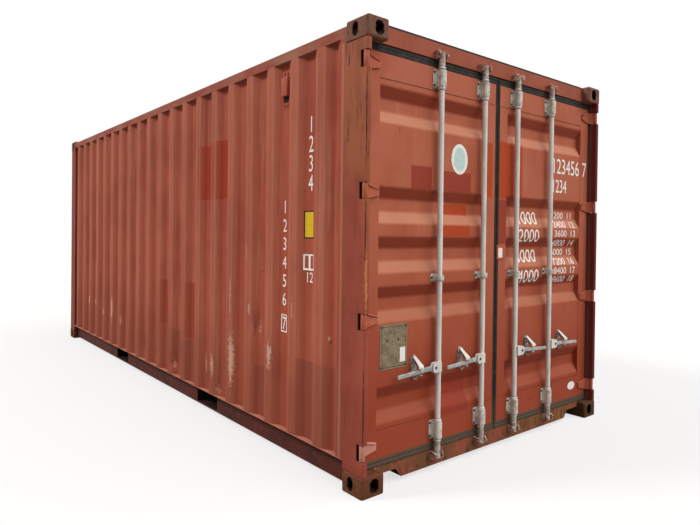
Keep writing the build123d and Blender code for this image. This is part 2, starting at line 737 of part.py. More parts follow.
# Door leaves: stiles, rails, grooved panel, gasket, hinges, bar brackets and handle retainers
bracket_top = door_top - DOOR_TOP_RAIL / 2
bracket_bottom = door_bottom + DOOR_BOTTOM_RAIL / 2
strap_level = (groove_levels[1] + groove_levels[2]) / 2
bracket_places = (
    (bracket_top, BRACKET_HEIGHT, door_face),
    (bracket_bottom, BRACKET_HEIGHT, door_face),
    (strap_level, STRAP_HEIGHT, panel_face),
)
crown_bore = BAR_RADIUS + BAR_CLEAR
crown_half = crown_bore + CROWN_WALL
crown_front = bar_x + crown_half
handle_back = bar_x + HANDLE_OFFSET - HANDLE_SHEET / 2
handle_front = handle_back + HANDLE_SHEET
handle_reach = BAR_PLACES[0][1] - BAR_PLACES[1][1] - HANDLE_END_GAP


def handle_level(reach):
    """The height of a handle's middle line at a reach from its bar: level in the hub, then drooping."""
    return HANDLE_LEVEL - HANDLE_DROOP * (reach - HUB_REACH) / (handle_reach - HUB_REACH)


def panel_line(face):
    """A door panel's line seen from the side, from bottom to top, with its flats at x = face."""
    line = [(face, door_bottom + DOOR_BOTTOM_RAIL)]
    for middle in groove_levels:
        line.append((face, middle - GROOVE_FLOOR / 2 - GROOVE_SLOPE))
        line.append((face - GROOVE_DEPTH, middle - GROOVE_FLOOR / 2))
        line.append((face - GROOVE_DEPTH, middle + GROOVE_FLOOR / 2))
        line.append((face, middle + GROOVE_FLOOR / 2 + GROOVE_SLOPE))
    return line + [(face, door_top - DOOR_TOP_RAIL)]


for name, side in SIDES:
    with BuildPart() as stiles:
        with BuildSketch(Plane.XY.offset(door_bottom)):
            for middle, width in (
                (door_edge - STILE_OUTER / 2, STILE_OUTER),
                (SEAM_HALF + STILE_INNER / 2, STILE_INNER),
            ):
                with Locations((door_face - DOOR_DEPTH / 2, side * middle)):
                    Rectangle(DOOR_DEPTH, width)
                    Rectangle(DOOR_DEPTH - 2 * STILE_SHEET, width - 2 * STILE_SHEET, mode=Mode.SUBTRACT)
        extrude(amount=door_top - door_bottom)
    stiles.part.label = f"{name}_door_stiles"
    export_step(stiles.part, f"parts/{name}_door_stiles.step")

    span_start = min(-side * panel_outer, -side * panel_inner)
    with BuildPart() as rails:
        with BuildSketch(Plane.XZ.offset(span_start)):
            for middle, height in (
                (door_top - DOOR_TOP_RAIL / 2, DOOR_TOP_RAIL),
                (door_bottom + DOOR_BOTTOM_RAIL / 2, DOOR_BOTTOM_RAIL),
            ):
                with Locations((door_face - DOOR_DEPTH / 2, middle)):
                    Rectangle(DOOR_DEPTH, height)
                    Rectangle(DOOR_DEPTH - 2 * STILE_SHEET, height - 2 * STILE_SHEET, mode=Mode.SUBTRACT)
        extrude(amount=panel_outer - panel_inner)
    rails.part.label = f"{name}_door_rails"
    export_step(rails.part, f"parts/{name}_door_rails.step")

    with BuildPart() as panel:
        with BuildSketch(Plane.XZ.offset(span_start)):
            with BuildLine():
                Polyline(
                    *panel_line(panel_face),
                    *reversed(panel_line(panel_face - PANEL_SHEET)),
                    close=True,
                )
            make_face()
        extrude(amount=panel_outer - panel_inner)
    panel.part.label = f"{name}_door_panel"
    export_step(panel.part, f"parts/{name}_door_panel.step")

    seal_outer = post_inner - SEAL_CLEAR
    seal_top = post_top - SEAL_CLEAR
    seal_bottom = post_bottom + SEAL_CLEAR
    with BuildPart() as gasket:
        with BuildSketch(Plane.YZ.offset(door_back + GASKET_BACK)):
            with Locations((side * (seal_outer + SEAM_CLEAR) / 2, (seal_top + seal_bottom) / 2)):
                Rectangle(seal_outer - SEAM_CLEAR, seal_top - seal_bottom)
            with Locations((side * (door_edge + SEAM_HALF) / 2, (door_top + door_bottom) / 2)):
                Rectangle(door_edge - SEAM_HALF, door_top - door_bottom, mode=Mode.SUBTRACT)
        extrude(amount=DOOR_DEPTH - GASKET_BACK - GASKET_FRONT)
    gasket.part.label = f"{name}_door_gasket"
    export_step(gasket.part, f"parts/{name}_door_gasket.step")

    face_drop = door_face - hinge_x
    knuckle_height = HINGE_NOTCH_HEIGHT - 2 * KNUCKLE_END_GAP
    with BuildPart() as hinges:
        with BuildSketch(Plane.XY.offset(hinge_first - knuckle_height / 2)):
            with BuildLine():
                Polyline(
                    (hinge_x - KNUCKLE_RADIUS + SEAL_CLEAR, side * hinge_y),
                    (hinge_x - KNUCKLE_RADIUS - SEAL_CLEAR, side * post_inner),
                    (door_face, side * (door_edge - SEAL_CLEAR)),
                    (door_face, side * (hinge_y - BLADE_REACH)),
                    (door_face + BLADE_SHEET, side * (hinge_y - BLADE_REACH)),
                    (door_face + BLADE_SHEET, side * (door_edge - SEAL_CLEAR - BLADE_SHEET)),
                    (hinge_x, side * (hinge_y - KNUCKLE_RADIUS + SEAL_CLEAR)),
                    close=True,
                )
            make_face()
            with Locations((hinge_x, side * hinge_y)):
                Circle(KNUCKLE_RADIUS)
                Circle(PIN_RADIUS + PIN_CLEAR, mode=Mode.SUBTRACT)
        extrude(amount=knuckle_height)
        with BuildSketch(Plane.YZ.offset(door_face)):
            for end in (-1, 1):
                with BuildLine():
                    Polyline(
                        (side * (door_edge - SEAL_CLEAR), hinge_first + end * knuckle_height / 2),
                        (side * (hinge_y - BLADE_REACH), hinge_first + end * knuckle_height / 2),
                        (
                            side * (hinge_y - BLADE_REACH),
                            hinge_first + end * (knuckle_height / 2 - BLADE_END_TAPER),
                        ),
                        close=True,
                    )
                make_face()
        extrude(amount=BLADE_SHEET, mode=Mode.SUBTRACT)
        hinge = hinges.part
        for step in range(1, HINGE_COUNT):
            add(hinge.moved(Location((0, 0, step * hinge_pitch))))
    hinges.part.label = f"{name}_door_hinges"
    export_step(hinges.part, f"parts/{name}_door_hinges.step")

    with BuildPart() as brackets:
        for _, bar_y in BAR_PLACES:
            for middle, height, seat in bracket_places:
                with BuildSketch(Plane.YZ.offset(seat)) as flange:
                    with Locations((side * bar_y, middle)):
                        Rectangle(2 * BRACKET_HALF, height)
                    chamfer(flange.vertices(), BRACKET_CORNER)
                extrude(amount=BRACKET_PLATE)
                with BuildSketch(Plane.XY.offset(middle - height / 2 + CROWN_END)):
                    with BuildLine():
                        Polyline(
                            (seat, side * bar_y - CROWN_FOOT),
                            (bar_x, side * bar_y - crown_half),
                            (crown_front - CROWN_EDGE, side * bar_y - crown_half),
                            (crown_front, side * bar_y - crown_half + CROWN_EDGE),
                            (crown_front, side * bar_y + crown_half - CROWN_EDGE),
                            (crown_front - CROWN_EDGE, side * bar_y + crown_half),
                            (bar_x, side * bar_y + crown_half),
                            (seat, side * bar_y + CROWN_FOOT),
                            close=True,
                        )
                    make_face()
                    with Locations((bar_x, side * bar_y)):
                        Rectangle(2 * crown_bore, 2 * crown_bore, mode=Mode.SUBTRACT)
                extrude(amount=height - 2 * CROWN_END)
    brackets.part.label = f"{name}_door_bar_brackets"
    export_step(brackets.part, f"parts/{name}_door_bar_brackets.step")

    catch_low = handle_level(RETAINER_AT - CATCH_WIDTH / 2) + HANDLE_ROOT / 2 + CATCH_CLEAR
    catch_tip = handle_front + CATCH_CLEAR + CATCH_NOSE / 2
    plate_top = HANDLE_LEVEL + RETAINER_ABOVE
    with BuildPart() as retainers:
        for _, bar_y in BAR_PLACES:
            retainer_y = side * (bar_y + RETAINER_AT)
            with BuildSketch(Plane.YZ.offset(panel_face)):
                with Locations((retainer_y, HANDLE_LEVEL + (RETAINER_ABOVE - RETAINER_BELOW) / 2)):
                    SlotOverall(RETAINER_ABOVE + RETAINER_BELOW, RETAINER_WIDTH, rotation=90)
            extrude(amount=RETAINER_PLATE)
            rest_top = handle_level(RETAINER_AT + CATCH_WIDTH / 2) - HANDLE_ROOT / 2 - REST_GAP
            with BuildSketch(Plane.XY.offset(rest_top)):
                with Locations(((panel_face + catch_tip) / 2, retainer_y)):
                    Rectangle(catch_tip - panel_face, CATCH_WIDTH)
            extrude(amount=-REST_SHEET)
            with BuildSketch(Plane.XZ.offset(-retainer_y)):
                with BuildLine():
                    Polyline(
                        (panel_face, plate_top - CATCH_NOSE),
                        (panel_face + RETAINER_PLATE, plate_top - CATCH_NOSE),
                        (catch_tip, catch_low + CATCH_NOSE),
                        (catch_tip, catch_low),
                        (catch_tip - CATCH_NOSE, catch_low),
                        (panel_face + RETAINER_PLATE, plate_top - CATCH_NOSE - CATCH_DROP),
                        (panel_face, plate_top - CATCH_NOSE - CATCH_DROP),
                        close=True,
                    )
                make_face()
            extrude(amount=CATCH_WIDTH / 2, both=True)
    retainers.part.label = f"{name}_door_handle_retainers"
    export_step(retainers.part, f"parts/{name}_door_handle_retainers.step")

# Data plate on the left door, riveted to the flat between the outer retainer and the stile
plate_outer = panel_outer - DATA_PLATE_INSET
plate_inner = BAR_PLACES[0][1] + RETAINER_AT + RETAINER_WIDTH / 2 + DATA_PLATE_GAP
with BuildPart() as data_plate:
    with BuildSketch(Plane.YZ.offset(panel_face)):
        with Locations((-(plate_outer + plate_inner) / 2, DATA_PLATE_LEVEL + DATA_PLATE_HEIGHT / 2)):
            Rectangle(plate_outer - plate_inner, DATA_PLATE_HEIGHT)
    extrude(amount=DATA_PLATE_SHEET)
data_plate.part.label = "data_plate"
export_step(data_plate.part, "parts/data_plate.step")

# Overlap plate on the right door's inner stile, beside the seam
with BuildPart() as overlap_plate:
    with BuildSketch(Plane.YZ.offset(door_face)):
        with Locations((SEAM_CLEAR + OVERLAP_REACH / 2, OVERLAP_LEVEL + OVERLAP_HEIGHT / 2)):
            Rectangle(OVERLAP_REACH, OVERLAP_HEIGHT)
    extrude(amount=OVERLAP_SHEET)
overlap_plate.part.label = "overlap_plate"
export_step(overlap_plate.part, "parts/overlap_plate.step")

# Locking bars: each turns in its brackets, with a collar inside each end bracket, a forked hub welded on,
# a forged cam with a shank at each end, and a flat handle in the hub
crown_end = BRACKET_HEIGHT / 2 - CROWN_END + COLLAR_GAP
bar_bottom = bracket_bottom - crown_end
bar_top = bracket_top + crown_end
collar_levels = (bracket_bottom + crown_end + COLLAR_HEIGHT / 2, bracket_top - crown_end - COLLAR_HEIGHT / 2)
hub_back = handle_back - HUB_GAP - HUB_CHEEK
hub_depth = HANDLE_SHEET + 2 * HUB_GAP + 2 * HUB_CHEEK
for name, side in SIDES:
    for place, bar_y in BAR_PLACES:
        axis_y = side * bar_y
        with BuildPart() as bar:
            with BuildSketch(Plane.XY.offset(bar_bottom)):
                with Locations((bar_x, axis_y)):
                    Circle(BAR_RADIUS)
            extrude(amount=bar_top - bar_bottom)
            with Locations(*[(bar_x, axis_y, level) for level in collar_levels]):
                Cylinder(COLLAR_RADIUS, COLLAR_HEIGHT)
            with BuildSketch(Plane.YZ.offset(hub_back)) as hub:
                with Locations((axis_y + side * HUB_REACH / 2, HANDLE_LEVEL)):
                    Rectangle(HUB_REACH, HUB_HEIGHT)
                chamfer(hub.vertices().sort_by(Axis.X, reverse=side > 0)[:2], HUB_CORNER)
            extrude(amount=hub_depth)
            with BuildSketch(Plane.XY.offset(HANDLE_LEVEL - HUB_HEIGHT / 2)):
                with Locations((bar_x + HANDLE_OFFSET, axis_y + side * (HUB_REACH + HUB_ROOT) / 2)):
                    Rectangle(HANDLE_SHEET + 2 * HUB_GAP, HUB_REACH - HUB_ROOT)
            extrude(amount=HUB_HEIGHT, mode=Mode.SUBTRACT)
        bar.part.label = f"{name}_{place}_bar"
        export_step(bar.part, f"parts/{name}_{place}_bar.step")

        with BuildPart() as cams:
            for cam_level, shank_from, shank_to in (
                (cam_levels["header"], bar_top, cam_levels["header"]),
                (cam_levels["sill"], cam_levels["sill"] + CAM_HEIGHT, bar_bottom),
            ):
                with BuildSketch(Plane.XY.offset(cam_level)):
                    with Locations((bar_x, axis_y)):
                        Circle(CAM_CORE)
                    with BuildLine():
                        Polyline(
                            (bar_x - CAM_LOBE / 2, axis_y),
                            (bar_x + CAM_LOBE / 2, axis_y),
                            (bar_x + CAM_LOBE / 2 - CAM_NOSE / 2, axis_y + side * CAM_REACH),
                            (bar_x - CAM_LOBE / 2, axis_y + side * CAM_REACH),
                            close=True,
                        )
                    make_face()
                extrude(amount=CAM_HEIGHT)
                with BuildSketch(Plane.XY.offset(shank_from)):
                    with Locations((bar_x, axis_y)):
                        Circle(CAM_CORE)
                extrude(amount=shank_to - shank_from)
        cams.part.label = f"{name}_{place}_cams"
        export_step(cams.part, f"parts/{name}_{place}_cams.step")

        with BuildPart() as handle:
            tip_level = handle_level(handle_reach)
            with BuildSketch(Plane.YZ.offset(handle_back)) as blade:
                with BuildLine():
                    Polyline(
                        (axis_y + side * HANDLE_START, HANDLE_LEVEL - HANDLE_ROOT / 2),
                        (axis_y + side * HUB_REACH, HANDLE_LEVEL - HANDLE_ROOT / 2),
                        (axis_y + side * handle_reach, tip_level - HANDLE_TIP / 2),
                        (axis_y + side * handle_reach, tip_level + HANDLE_TIP / 2),
                        (axis_y + side * HUB_REACH, HANDLE_LEVEL + HANDLE_ROOT / 2),
                        (axis_y + side * HANDLE_START, HANDLE_LEVEL + HANDLE_ROOT / 2),
                        close=True,
                    )
                make_face()
                chamfer(blade.vertices().sort_by(Axis.X, reverse=side > 0)[:2], HANDLE_TIP_CORNER)
            extrude(amount=HANDLE_SHEET)
        handle.part.label = f"{name}_{place}_handle"
        export_step(handle.part, f"parts/{name}_{place}_handle.step")
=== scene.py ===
import json
import math

import bmesh
import bpy
import numpy as np
from mathutils import Matrix, Vector


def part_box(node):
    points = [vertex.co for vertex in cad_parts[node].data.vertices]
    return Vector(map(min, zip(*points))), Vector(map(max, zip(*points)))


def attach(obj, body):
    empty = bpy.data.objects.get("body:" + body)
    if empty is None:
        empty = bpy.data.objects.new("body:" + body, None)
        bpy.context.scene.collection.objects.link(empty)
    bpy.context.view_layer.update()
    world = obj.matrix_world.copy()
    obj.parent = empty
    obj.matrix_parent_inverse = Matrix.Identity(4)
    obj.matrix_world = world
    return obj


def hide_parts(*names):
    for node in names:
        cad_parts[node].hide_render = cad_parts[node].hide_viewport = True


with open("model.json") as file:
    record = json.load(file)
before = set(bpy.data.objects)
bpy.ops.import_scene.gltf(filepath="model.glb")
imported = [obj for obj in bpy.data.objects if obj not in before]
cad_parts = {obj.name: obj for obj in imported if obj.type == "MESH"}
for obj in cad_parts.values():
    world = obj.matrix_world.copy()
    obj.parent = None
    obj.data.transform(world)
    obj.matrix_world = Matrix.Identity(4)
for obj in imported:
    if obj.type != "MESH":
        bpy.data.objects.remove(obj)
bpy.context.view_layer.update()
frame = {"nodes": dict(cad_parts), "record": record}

# Corner castings: eight hollow blocks of cast steel, welded to the ends of the posts and rails. Cast edges
# are round, and years of twist locks have chipped the paint and let the steel rust.
mm = 0.001
nodes = frame["nodes"]
record = frame["record"]
body_of = {node: body for body, held in record["behaviour"]["bodies"].items() for node in held}
slot_of = {part["node"]: part["material_slot"] for part in record["subparts"]}
CASTING_ROUND = 22
CASTING_PAINT = "#683d2f"
CASTING_RUST = "#6d4733"
CASTING_BARE = "#2b1e19"
CASTING_CAVITY_SHADE = "#120d0b"
CASTING_MUD_AND_SHADE = "#382510"
CASTING_DUST = "#8c6a5c"
CASTING_OCHRE = "#5c3013"
# Cavity of a casting in one corner of the frame: from and to along x and y, and its two heights
CAVITY = ((2866, 1072), (3022, 1212))
CAVITY_LEVELS = ((6, 102), (2489, 2585))


def linear(code):
    """A colour written as sRGB hex, turned into linear light."""
    share = np.array([int(code[i:i + 2], 16) for i in (1, 3, 5)]) / 255
    light = np.where(share <= 0.04045, share / 12.92, ((share + 0.055) / 1.055) ** 2.4)
    return (*light.tolist(), 1.0)


def add(tree, kind, inputs, **settings):
    """Adds one node with its settings, and fills its sockets with values, with colours written as sRGB hex,
    or with links from other nodes."""
    node = tree.nodes.new(kind)
    for name, value in settings.items():
        setattr(node, name, value)
    for socket, value in inputs.items():
        if isinstance(value, bpy.types.NodeSocket):
            tree.links.new(value, node.inputs[socket])
        else:
            node.inputs[socket].default_value = linear(value) if isinstance(value, str) else value
    return node


class Coat:
    """A finish as it is laid on: its material, its shader, the place on the piece in metres of the shared
    frame, and the colour so far."""

    def __init__(self, name, roughness, ground, metallic=0.0, gloss=0.12):
        self.finish = bpy.data.materials.new(name)
        self.finish.use_nodes = True
        self.tree = self.finish.node_tree
        self.shader = self.tree.nodes["Principled BSDF"]
        self.shader.inputs["Roughness"].default_value = roughness
        self.shader.inputs["Metallic"].default_value = metallic
        self.shader.inputs["Specular IOR Level"].default_value = gloss
        self.place = add(self.tree, "ShaderNodeTexCoord", {}).outputs["Object"]
        self.colour = ground

    def lay(self, over, mask, under=None):
        """Mixes a colour over the coat by a mask. With under, it goes over that colour instead, and the mix
        is only handed back."""
        ground = self.colour if under is None else under
        mix = add(self.tree, "ShaderNodeMix", {0: mask, 6: ground, 7: over}, data_type="RGBA").outputs[2]
        if under is None:
            self.colour = mix
        return mix

    def done(self, grain_mm=0, depth_mm=0):
        """Joins the colour to the shader, and a bump of that grain and depth if there is one. Real grit is
        finer: it is drawn as coarse as it needs to show."""
        self.tree.links.new(self.colour, self.shader.inputs["Base Color"])
        if grain_mm:
            cloud = add(self.tree, "ShaderNodeTexNoise", {
                "Vector": self.place, "Scale": 1 / (grain_mm * mm), "Detail": 6.0})
            bump = add(self.tree, "ShaderNodeBump", {"Height": cloud.outputs[0], "Distance": depth_mm * mm})
            self.tree.links.new(bump.outputs[0], self.shader.inputs["Normal"])
        return self.finish


def mottle(coat, over, grain_mm, cover, strength=1.0, stretch=(1, 1, 1), seed=0.0, under=None):
    """Lays a colour over a coat in cloudy patches of that grain. The patches start where the cloud passes
    the first value of cover and are full at the second; an axis with a small stretch draws them out."""
    moved = add(coat.tree, "ShaderNodeMapping", {
        "Vector": coat.place, "Scale": stretch, "Location": (seed, 1.7 * seed, 0.6 * seed)})
    cloud = add(coat.tree, "ShaderNodeTexNoise", {
        "Vector": moved.outputs[0], "Scale": 1 / (grain_mm * mm), "Detail": 6.0, "Roughness": 0.62})
    mask = add(coat.tree, "ShaderNodeMapRange", {
        "Value": cloud.outputs[0], "From Min": cover[0], "From Max": cover[1], "To Max": strength},
        interpolation_type="SMOOTHSTEP")
    return coat.lay(over, mask.outputs[0], under)


def repaint(coat, over, low, high, soft_mm, strength=1.0, at=None, under=None):
    """Lays a colour over a coat inside a box of the frame, given in mm, fading over soft_mm at its sides:
    the mask falls with the largest of the distances beyond the box along the three axes."""
    tree, at = coat.tree, coat.place if at is None else at
    low, high = np.array(low) * mm, np.array(high) * mm
    half = (high - low) / 2
    shifted = add(tree, "ShaderNodeVectorMath", {0: at, 1: (low + high) / 2}, operation="SUBTRACT")
    folded = add(tree, "ShaderNodeVectorMath", {0: shifted.outputs[0]}, operation="ABSOLUTE")
    beyond = add(tree, "ShaderNodeVectorMath", {0: folded.outputs[0], 1: half}, operation="SUBTRACT")
    split = add(tree, "ShaderNodeSeparateXYZ", {0: beyond.outputs[0]})
    flat = add(tree, "ShaderNodeMath", {0: split.outputs[0], 1: split.outputs[1]}, operation="MAXIMUM")
    most = add(tree, "ShaderNodeMath", {0: flat.outputs[0], 1: split.outputs[2]}, operation="MAXIMUM")
    soft = soft_mm / 2 * mm
    mask = add(tree, "ShaderNodeMapRange", {
        "Value": most.outputs[0], "From Min": soft, "From Max": -soft, "To Max": strength})
    return coat.lay(over, mask.outputs[0], under)


def seat(mesh, finishes, body, slot, *stands_for):
    """Puts a finished mesh into the scene, on the body that carries it, for the CAD pieces it stands for."""
    piece = bpy.data.objects.new(mesh.name, mesh)
    bpy.context.scene.collection.objects.link(piece)
    for finish in finishes:
        mesh.materials.append(finish)
    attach(piece, body)
    if stands_for:
        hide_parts(*stands_for)
    return piece


def points_of(mesh):
    """A mesh's points, as rows of three."""
    points = np.empty(3 * len(mesh.vertices))
    mesh.vertices.foreach_get("co", points)
    return points.reshape(-1, 3)


def eased(node, round_mm, finish, outer_only=False):
    """Stands a copy of a CAD piece in its place: its triangles are merged into flat faces, and the edges
    between them are rounded by a bevel of that width. With outer_only, the edges that are rounded are those
    on two sides of the piece's own box, which is mirrored in x and y."""
    form = bmesh.new()
    form.from_mesh(nodes[node].data)
    bmesh.ops.remove_doubles(form, verts=form.verts, dist=0.02 * mm)
    bmesh.ops.dissolve_limit(form, angle_limit=math.radians(1), verts=form.verts, edges=form.edges)
    mesh = bpy.data.meshes.new(f"{node}_eased")
    form.to_mesh(mesh)
    form.free()
    mesh.shade_smooth()
    piece = seat(mesh, [finish], body_of[node], slot_of[node], node)
    bevel = piece.modifiers.new("edge_round", "BEVEL")
    bevel.width = round_mm * mm
    bevel.segments = 2
    bevel.limit_method = "ANGLE"
    bevel.angle_limit = math.radians(35)
    bevel.harden_normals = True
    if outer_only:
        folded = np.abs(points_of(mesh))
        on_side = np.minimum(folded - folded.min(axis=0), folded.max(axis=0) - folded) < 0.05 * mm
        ends = np.empty(2 * len(mesh.edges), np.int32)
        mesh.edges.foreach_get("vertices", ends)
        shared = on_side[ends[0::2]] & on_side[ends[1::2]]
        weight = mesh.attributes.new("bevel_weight_edge", "FLOAT", "EDGE")
        weight.data.foreach_set("value", (shared.sum(axis=1) >= 2).astype(np.float32))
        mesh.set_sharp_from_angle(angle=bevel.angle_limit)
        bevel.limit_method = "WEIGHT"
        bevel.segments = 4


# Cast steel under worn paint: matte, mottled brown, dark and rusty where the paint has gone, with a gritty
# skin. Painted shade makes the cavity near black and darkens the right bottom casting.
coat = Coat("painted_cast_steel", 0.8, CASTING_PAINT)
mottle(coat, CASTING_RUST, 70, (0.45, 0.6))
mottle(coat, CASTING_BARE, 34, (0.52, 0.66), 0.85, seed=3.0)
muddy = mottle(coat, CASTING_MUD_AND_SHADE, 26, (0.36, 0.56), 0.9, seed=7.0, under=coat.colour)
repaint(coat, muddy, (-3040, -1230, -60), (3040, 1230, 52), 70)
repaint(coat, CASTING_OCHRE, (-3040, -1230, -20), (3040, 1230, 125), 10, 0.42)
# Painted shade: the right bottom casting is darkened with the mud colour.
repaint(coat, CASTING_MUD_AND_SHADE, (2840, 1040, -20), (3040, 1230, 130), 4, 0.6)
repaint(coat, CASTING_DUST, (-3040, -1230, 2460), (3040, 1230, 2600), 10, 0.22)
# Painted shade: the cavity of each casting is painted near black.
corner_place = add(coat.tree, "ShaderNodeVectorMath", {0: coat.place}, operation="ABSOLUTE").outputs[0]
for from_z, to_z in CAVITY_LEVELS:
    repaint(coat, CASTING_CAVITY_SHADE, (*CAVITY[0], from_z), (*CAVITY[1], to_z), 3, 0.95, at=corner_place)
cast_steel = coat.done(9, 1.6)
for level in ("bottom", "top"):
    eased(f"{level}_corner_castings", CASTING_ROUND, cast_steel, outer_only=True)

# Bottom frame: folded side rails, channel cross members and fork pockets, welded up and painted in one
# dark coat that road dirt has dulled.
CHASSIS_PAINT = "#54261f"
CHASSIS_DIRT = "#37201c"
CHASSIS_DUST = "#664437"
LEDGE_HIGHLIGHT = "#b3745c"
LEDGE_HIGHLIGHT_FROM = 152
POCKET_SHADE = "#1c1311"


def dress(finish, *names):
    """Gives CAD pieces that keep their own shape a finish."""
    for name in names:
        for slot in nodes[name].material_slots:
            slot.material = finish


# Chassis paint: dark and dull, blotched by dirt and paler dust, with a painted highlight along the rails'
# tops.
coat = Coat("dirty_chassis_paint", 0.78, CHASSIS_PAINT)
mottle(coat, CHASSIS_DIRT, 260, (0.4, 0.65))
mottle(coat, CHASSIS_DUST, 60, (0.55, 0.72), 0.6, seed=2.0)
# Painted highlight: a pale band along the flat tops of the bottom rails.
repaint(coat, LEDGE_HIGHLIGHT, (-2860, -1260, LEDGE_HIGHLIGHT_FROM), (2860, 1260, 200), 4, 0.85)
chassis_paint = coat.done(14, 0.8)
dress(chassis_paint, "bottom_side_rails", "cross_members", "front_bottom_rail")

# Fork pocket paint: the same coat, near black as painted shade in the pockets and the ventilators' mouths,
# blotched by dirt.
# Painted shade: the inside of each pocket is near black.
coat = Coat("shaded_pocket_paint", 0.85, POCKET_SHADE)
mottle(coat, CHASSIS_DIRT, 90, (0.5, 0.7), 0.7)
pocket_shade_paint = coat.done()
dress(pocket_shade_paint, "fork_pockets")

# Floor: boards of hardwood plywood, laid on the cross members in two rows and screwed down. The wood is
# oiled dark and scored by pallets.
PLY_LIGHT = "#8a6240"
PLY_DARK = "#5c3d26"
PLY_SCORE = "#3d2b1f"
coat = Coat("oiled_plywood", 0.6, PLY_LIGHT)
mottle(coat, PLY_DARK, 14, (0.35, 0.68), stretch=(0.04, 1, 1))
mottle(coat, PLY_SCORE, 40, (0.6, 0.75), 0.7, stretch=(0.1, 1, 1), seed=4.0)
plywood = coat.done(12, 0.4)
dress(plywood, "floor_panels")

# Floor screws: self-tapping screws of zinc-plated steel, driven through the boards into the cross members.
# Their flat heads end flush with the wood, in five rows on each side of the middle.
SCREW_RADIUS = 7
SCREW_RISE = 1.2
SCREW_SIDES = 8
SCREW_PITCH = 290
SCREW_ROWS = 5
SCREW_EDGE = 60


def box_mm(name):
    """The lowest and the highest corner of a CAD piece, in mm."""
    return tuple(np.array(corner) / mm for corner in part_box(name))


def mesh_of(name, points, faces, sharp_deg=None):
    """A mesh from points in mm and its faces; with an angle, smooth but for edges sharper than that."""
    mesh = bpy.data.meshes.new(name)
    mesh.from_pydata((np.reshape(points, (-1, 3)) * mm).tolist(), [], faces)
    if sharp_deg:
        mesh.shade_smooth()
        mesh.set_sharp_from_angle(angle=math.radians(sharp_deg))
    return mesh


def studs(name, feet, radius_mm, rise_mm, out, sides, sharp_deg=None):
    """Low round heads in one mesh: at each foot a ring of points at the full radius, just under the surface,
    carried up to a ring at the rise and in to three quarters of the radius, and capped at both ends."""
    out = np.asarray(out, float)
    across = np.cross(out, (0.0, 0.0, 1.0)) if abs(out[2]) < 0.5 else np.array((1.0, 0.0, 0.0))
    turn = np.arange(sides) * 2 * math.pi / sides
    ring = np.cos(turn)[:, None] * across + np.sin(turn)[:, None] * np.cross(out, across)
    lift = np.array([-0.5, rise_mm * 0.5, rise_mm])[:, None, None] * out
    head = np.array([1.0, 1.0, 0.75])[:, None, None] * ring * radius_mm + lift
    points = np.asarray(feet, float)[:, None, None, :] + head
    here = np.arange(sides)
    after = np.roll(here, -1)
    wall = np.concatenate([np.stack([here, after, after + sides, here + sides], axis=1) + step
                           for step in (0, sides)])
    starts = np.arange(len(feet)) * 3 * sides
    faces = (starts[:, None, None] + wall).reshape(-1, 4).tolist()
    faces += (starts[:, None] + here + 2 * sides).tolist()
    faces += (starts[:, None] + here[::-1]).tolist()
    return mesh_of(name, points, faces, sharp_deg)


# Zinc-plated steel: small, grey and half bright.
coat = Coat("plated_screw_steel", 0.45, "#8d8981", metallic=0.8)
mottle(coat, "#5d4a3c", 12, (0.45, 0.6))
zinc_plate = coat.done()
floor_low, floor_high = box_mm("floor_panels")
along = np.arange(floor_low[0] + SCREW_PITCH / 2, floor_high[0], SCREW_PITCH)
rows = np.linspace(SCREW_EDGE, floor_high[1] - SCREW_EDGE, SCREW_ROWS)
across = np.concatenate([-rows, rows])
screw_feet = np.stack([*(grid.ravel() for grid in np.meshgrid(along, across)),
                       np.full(along.size * across.size, floor_high[2])], axis=1)
screws = studs("floor_screws", screw_feet, SCREW_RADIUS, SCREW_RISE, (0, 0, 1), SCREW_SIDES)
seat(screws, [zinc_plate], "container", "zinc_steel")

# Frame: posts, top rails, header and sill of folded plate, welded to the castings and painted with the
# walls. The left rear post has a brown repaint on its upper half, cracked and rusty along its edge.
FRAME_RED = "#904636"
FRAME_DEEP = "#813b2b"
FRAME_RUST = "#5a3320"
RAIL_DUST = "#9a6a56"
FRONT_SHADE = "#6a3f33"
POST_BROWN = "#935236"
POST_BROWN_DEEP = "#80462f"
POST_CRACK = "#3a251c"
POST_SHADE = "#511d17"
FLANK_SHADE_GREY = "#5c3d36"
FLANK_SHADE_RED = "#64261e"
FLANK_FRONT = 2988
POST_FOLD_HIGHLIGHT = "#b4755f"
EDGE_RUST = "#33211a"
ORANGE_RUST = "#c27a48"
HEADER_RED = "#984f3a"
HEADER_DEEP = "#8a4630"
HEADER_SEAL = "#262321"
HEADER_SEAL_FROM = 2577
SILL_MUD = "#7d5d42"
BROWN_FROM = 2832
BROWN_FADE = (1640, 1820)
EDGE_BROWN_FROM = 1290
POST_FRONT = 3024
POST_FOOT = 118
POST_HEAD = 2480
POST_ROUND = 2.5
# Rust along the left rear post's edge: middle z, half width, half height
EDGE_SCRAPES = ((2060, 4, 330), (1450, 3, 220), (480, 4, 260))


def scrape(coat, over, middle, half, ragged, strength=1.0, grain_mm=22):
    """Lays a colour over a coat in a ragged oval of the frame, given in mm: the distance from its middle, as
    a share of its half sizes, is stirred by a cloud before it is cut off."""
    tree, place = coat.tree, coat.place
    middle, half = np.array(middle) * mm, np.array(half) * mm
    shifted = add(tree, "ShaderNodeVectorMath", {0: place, 1: middle}, operation="SUBTRACT")
    share = add(tree, "ShaderNodeVectorMath", {0: shifted.outputs[0], 1: half}, operation="DIVIDE")
    away = add(tree, "ShaderNodeVectorMath", {0: share.outputs[0]}, operation="LENGTH")
    cloud = add(tree, "ShaderNodeTexNoise", {"Vector": place, "Scale": 1 / (grain_mm * mm), "Detail": 5.0})
    stirred = add(tree, "ShaderNodeMath", {
        0: cloud.outputs[0], 1: ragged, 2: away.outputs["Value"]}, operation="MULTIPLY_ADD")
    mask = add(tree, "ShaderNodeMapRange", {
        "Value": stirred.outputs[0], "From Min": 1.05 + 0.5 * ragged, "From Max": 0.55 + 0.5 * ragged,
        "To Max": strength})
    return coat.lay(over, mask.outputs[0])


